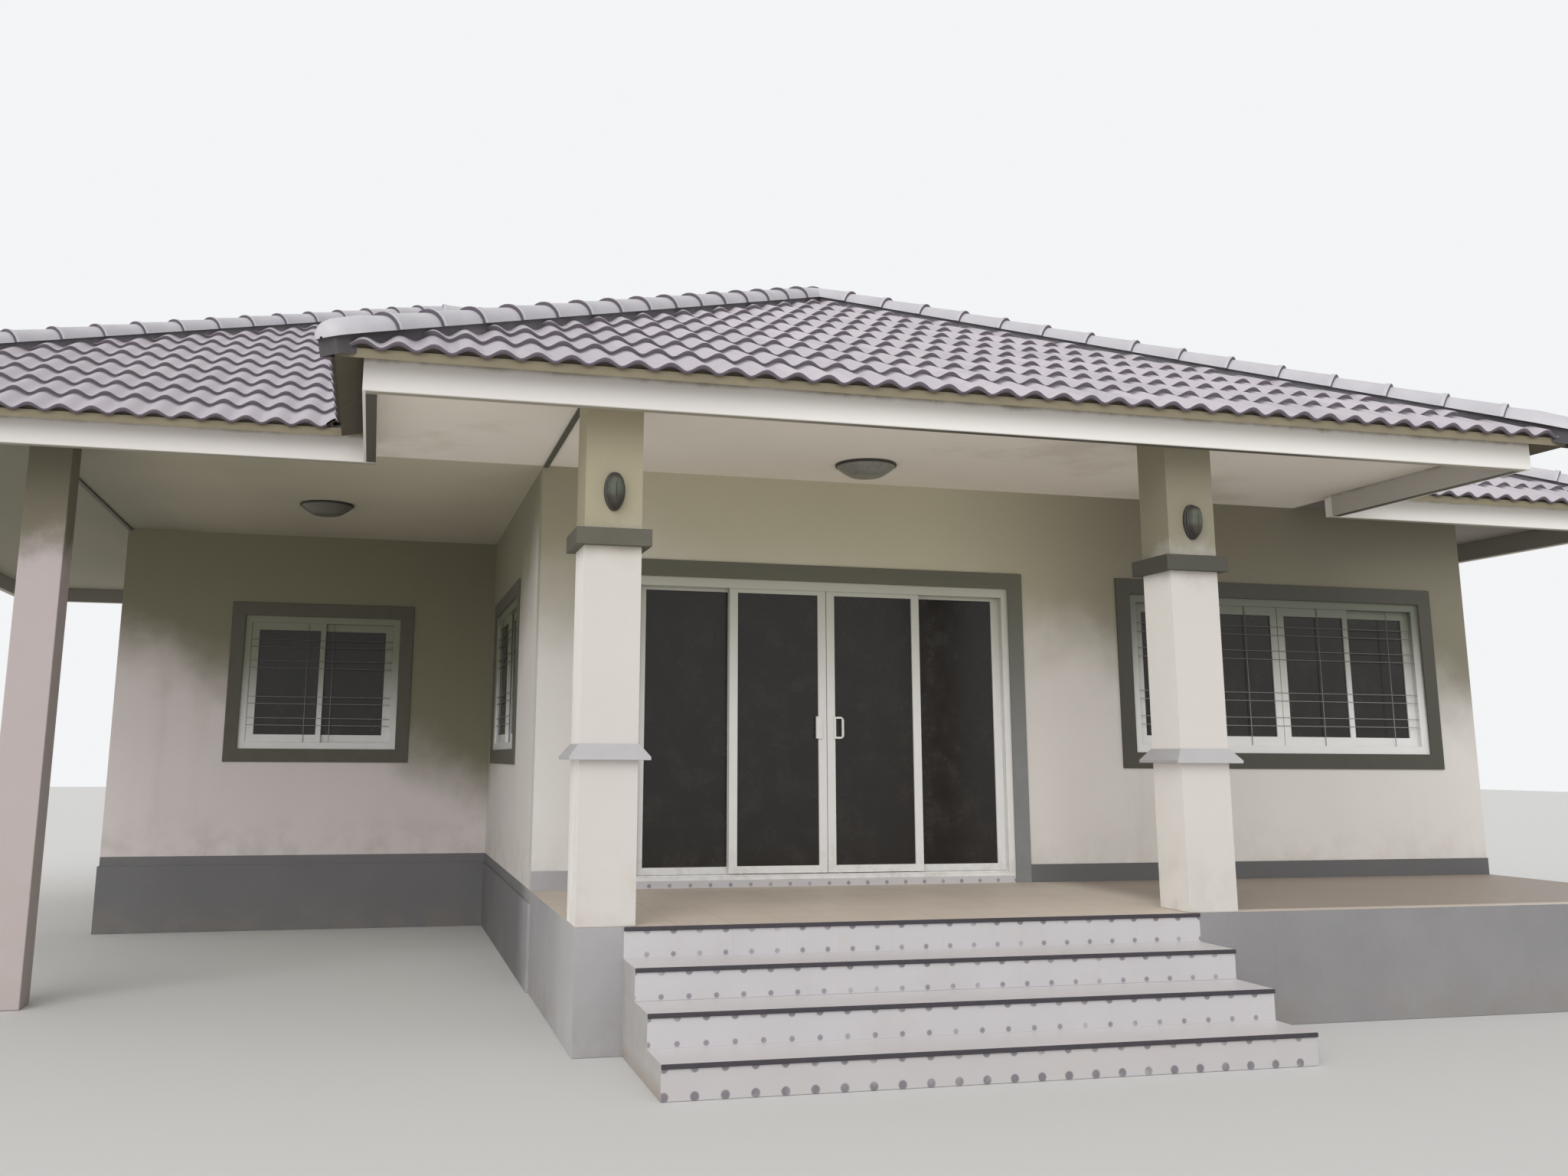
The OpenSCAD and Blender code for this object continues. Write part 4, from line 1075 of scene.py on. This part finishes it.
def lathed(verts, faces, looks, centre, profile, look):
    """Turns a profile of radius and height round an upright line."""
    first = len(verts)
    for radius, height in profile:
        for i in range(LAMP_TURNS):
            a = 2 * math.pi * i / LAMP_TURNS
            verts.append(centre + Vector((radius * math.cos(a), radius * math.sin(a), height)))
    for k in range(len(profile) - 1):
        belt(faces, looks, first + k * LAMP_TURNS, first + (k + 1) * LAMP_TURNS, LAMP_TURNS, look)


def make_ceiling_lamps(rim, glass):
    """A dark rim on the ceiling and a glass bowl that narrows to a flat foot."""
    low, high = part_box("ceiling_lamps")
    spots = {
        "lamp_carport": Vector((low.x + LAMP_R, high.y - LAMP_R, high.z)),
        "lamp_porch": Vector((high.x - LAMP_R, low.y + LAMP_R, high.z)),
    }
    for name, centre in spots.items():
        verts, faces, looks = [], [], []
        lathed(verts, faces, looks, centre, BOWL_PROFILE, 0)
        lathed(verts, faces, looks, centre, GLASS_PROFILE, 1)
        lamp = piece(name, made(name, verts, faces, looks, 1), "lamp_bowl", rim, glass)
        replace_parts(lamp, "ceiling_lamps")


def oval(centre, share, out):
    """A ring in front of the column: an oval with squarish sides, a little narrower below."""
    points = []
    for i in range(OVAL_TURNS):
        a = 2 * math.pi * i / OVAL_TURNS
        across = math.copysign(abs(math.cos(a)) ** OVAL_SQUARE, math.cos(a))
        across *= 1 - OVAL_TAPER * max(0.0, -math.sin(a)) ** 2
        tall = (OVAL_TALL - OVAL_WIDE * (1 - share)) * math.sin(a)
        points.append(centre + Vector((OVAL_WIDE * share * across, -out, tall)))
    return points


def make_wall_lamps(black, glass):
    """Oval bulkhead lamps on the columns: a dark plate and rim round a domed, grimy glass."""
    low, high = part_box("wall_lamps")
    middle = (low.z + high.z) / 2
    for name, x in {"lamp_column_left": low.x + OVAL_WIDE, "lamp_column_right": high.x - OVAL_WIDE}.items():
        verts, faces, looks = [], [], []
        for levels, look in ((OVAL_RIM, 0), (OVAL_DOME, 1)):
            first = len(verts)
            for share, out in levels:
                verts += oval(Vector((x, high.y, middle)), share, out)
            for a in range(first, len(verts) - OVAL_TURNS, OVAL_TURNS):
                belt(faces, looks, a, a + OVAL_TURNS, OVAL_TURNS, look)
        lamp = piece(name, made(name, verts, faces, looks, 1), "lamp_black", black, glass)
        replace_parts(lamp, "wall_lamps")


def round_edges():
    """Rounds the edges of CAD nodes a little."""
    for width, nodes in ROUNDED.items():
        for node in nodes:
            weld = NODES[node].modifiers.new("weld", "WELD")
            weld.merge_threshold = ROUND_WELD
            bevel = NODES[node].modifiers.new("bevel", "BEVEL")
            bevel.width = width
            bevel.segments = 2
            bevel.limit_method = "ANGLE"
            bevel.angle_limit = ROUND_FROM


# Camera, floor and light
def make_camera():
    look = Vector((math.sin(CAMERA_YAW) * math.cos(CAMERA_PITCH),
                   math.cos(CAMERA_YAW) * math.cos(CAMERA_PITCH), math.sin(CAMERA_PITCH)))
    right = Vector((math.cos(CAMERA_YAW), -math.sin(CAMERA_YAW), 0))
    up = right.cross(look)
    turn_c, turn_s = math.cos(CAMERA_ROLL), math.sin(CAMERA_ROLL)
    columns = (right * turn_c + up * turn_s, up * turn_c - right * turn_s, -look)
    data = bpy.data.cameras.new("camera")
    data.lens = CAMERA_LENS
    data.sensor_width = CAMERA_SENSOR
    data.shift_x, data.shift_y = CAMERA_SHIFT
    data.clip_end = CAMERA_REACH
    obj = bpy.data.objects.new("camera", data)
    obj.matrix_world = Matrix.Translation(CAMERA_AT) @ Matrix(columns).transposed().to_4x4()
    bpy.context.scene.collection.objects.link(obj)
    bpy.context.scene.camera = obj


def rays_seen(tree):
    """1 for rays from the camera, reflections and glass, 0 for light that bounces."""
    path = tree.nodes.new("ShaderNodeLightPath")
    names = ("Is Camera Ray", "Is Glossy Ray", "Is Transmission Ray")
    seen = path.outputs[names[0]]
    for name in names[1:]:
        either = tree.nodes.new("ShaderNodeMath")
        either.operation = "MAXIMUM"
        tree.links.new(seen, either.inputs[0])
        tree.links.new(path.outputs[name], either.inputs[1])
        seen = either.outputs[0]
    return seen


def make_floor():
    """A plain floor that looks paler than the light that it gives back, with painted shade in that light
    under the carport.
    """
    mesh = bpy.data.meshes.new("floor")
    r = FLOOR_REACH
    mesh.from_pydata([(-r, -r, 0), (r, -r, 0), (r, r, 0), (-r, r, 0)], [], [(0, 1, 2, 3)])
    s = Shader("floor", 0.9)
    x, y = s.axes()[:2]
    low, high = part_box("carport_side_wall")[0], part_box("carport_back_wall")[1]
    inside = s.times(s.fade(y, low.y, SHELTER_MOUTH_FADE), s.fade(x, high.x, SHELTER_SIDE_FADE))
    inside = s.times(inside, s.fade(x, MAIN_LO.x, SHELTER_END_FADE))
    inside = s.times(inside, s.fade(y, high.y, SHELTER_BACK_FADE))
    # Painted shade in the light given back under the carport.
    bounce = s.mix(inside, FLOOR_BOUNCE, FLOOR_SHADED_BOUNCE)
    mesh.materials.append(s.color(s.mix(rays_seen(s.tree), bounce, FLOOR_SEEN)))
    obj = bpy.data.objects.new("floor", mesh)
    obj.location.z = FLOOR_Z
    bpy.context.scene.collection.objects.link(obj)


def make_light():
    """An even pale world, seen as a plain backdrop, and one broad soft sun from the front left."""
    world = bpy.data.worlds.new("world")
    bpy.context.scene.world = world
    world.use_nodes = True
    tree = world.node_tree
    tree.nodes.clear()
    out = tree.nodes.new("ShaderNodeOutputWorld")
    mix = tree.nodes.new("ShaderNodeMixShader")
    light, seen = tree.nodes.new("ShaderNodeBackground"), tree.nodes.new("ShaderNodeBackground")
    light.inputs["Strength"].default_value = WORLD_LIGHT
    light.inputs["Color"].default_value = (1, 1, 1, 1)
    seen.inputs["Color"].default_value = (*WORLD_SEEN, 1)
    tree.links.new(rays_seen(tree), mix.inputs[0])
    tree.links.new(light.outputs[0], mix.inputs[1])
    tree.links.new(seen.outputs[0], mix.inputs[2])
    tree.links.new(mix.outputs[0], out.inputs[0])
    sun = bpy.data.lights.new("sun", "SUN")
    sun.energy = SUN_STRENGTH
    sun.angle = SUN_SPREAD
    obj = bpy.data.objects.new("sun", sun)
    towards = Vector((math.sin(SUN_SIDE) * math.cos(SUN_HEIGHT), -math.cos(SUN_SIDE) * math.cos(SUN_HEIGHT),
                      math.sin(SUN_HEIGHT)))
    obj.matrix_world = towards.to_track_quat("Z", "Y").to_matrix().to_4x4()
    bpy.context.scene.collection.objects.link(obj)


def finish_surfaces():
    """The material of every CAD node that shows."""
    for name, (nodes, shade_from, shade_to, shade_tone, more) in PLASTERS.items():
        dress(plaster(name, shade_from, shade_to, shade_tone, **more), *nodes)
    dress(grey_plaster("grey_plaster", 0.0), "house_base", "base_band")
    dress(grey_plaster("grey_skirting", SKIRTING_SHADE), "porch_skirting")
    dress(porch_floor(), "porch_slab")
    dress(step_tile(), "step_1", "step_2", "step_3", "door_curb")
    dress(plain("step_nosing", NOSING_TONES, 0.6, 30.0), "step_nosings")
    dress(dark_trim(), "column_capitals", "window_surrounds", "soffit_strips")
    dress(door_trim(), "door_surround")
    dress(plain("pale_trim", PALE_TRIM_TONES, 0.75, 8.0, 0.0015), "column_mouldings")
    for name, (nodes, low, high, head) in FRAMES.items():
        dress(frame_white(name, low, high, head), *nodes)
    dress(dark_glass(), "door_fixed_glass", "door_glass_left", "door_glass_right", "window_glass")
    for node in ("main_fascia", "porch_fascia"):
        dress(fascia_board(node), node)
    dress(soffit_board(), "eaves_soffit", "house_ceiling")
    dress(roof_shell(), "main_roof", "porch_roof")


bpy.context.scene.view_settings.view_transform = "Standard"
make_camera()
make_floor()
make_light()
finish_surfaces()
round_edges()
# The tile edge material is painted shade on the lips and the cap ends.
painted, lip_shade = roof_tile(), plain("tile_edge", TILE_EDGE_SHADE_TONES, 0.9, 25.0, 0.002)
make_tiles([painted, lip_shade, plain("under_tile", TILE_UNDER_SHADE_TONES, 0.95, 20.0, 0.002)])
make_caps([roof_cap(), lip_shade, mortar()])
make_grilles(grille_steel())
lamp_rim = plain("lamp_black", LAMP_BLACK_TONES, 0.5, 40.0)
make_ceiling_lamps(lamp_rim, bowl_glass())
make_wall_lamps(lamp_rim, lamp_glass())
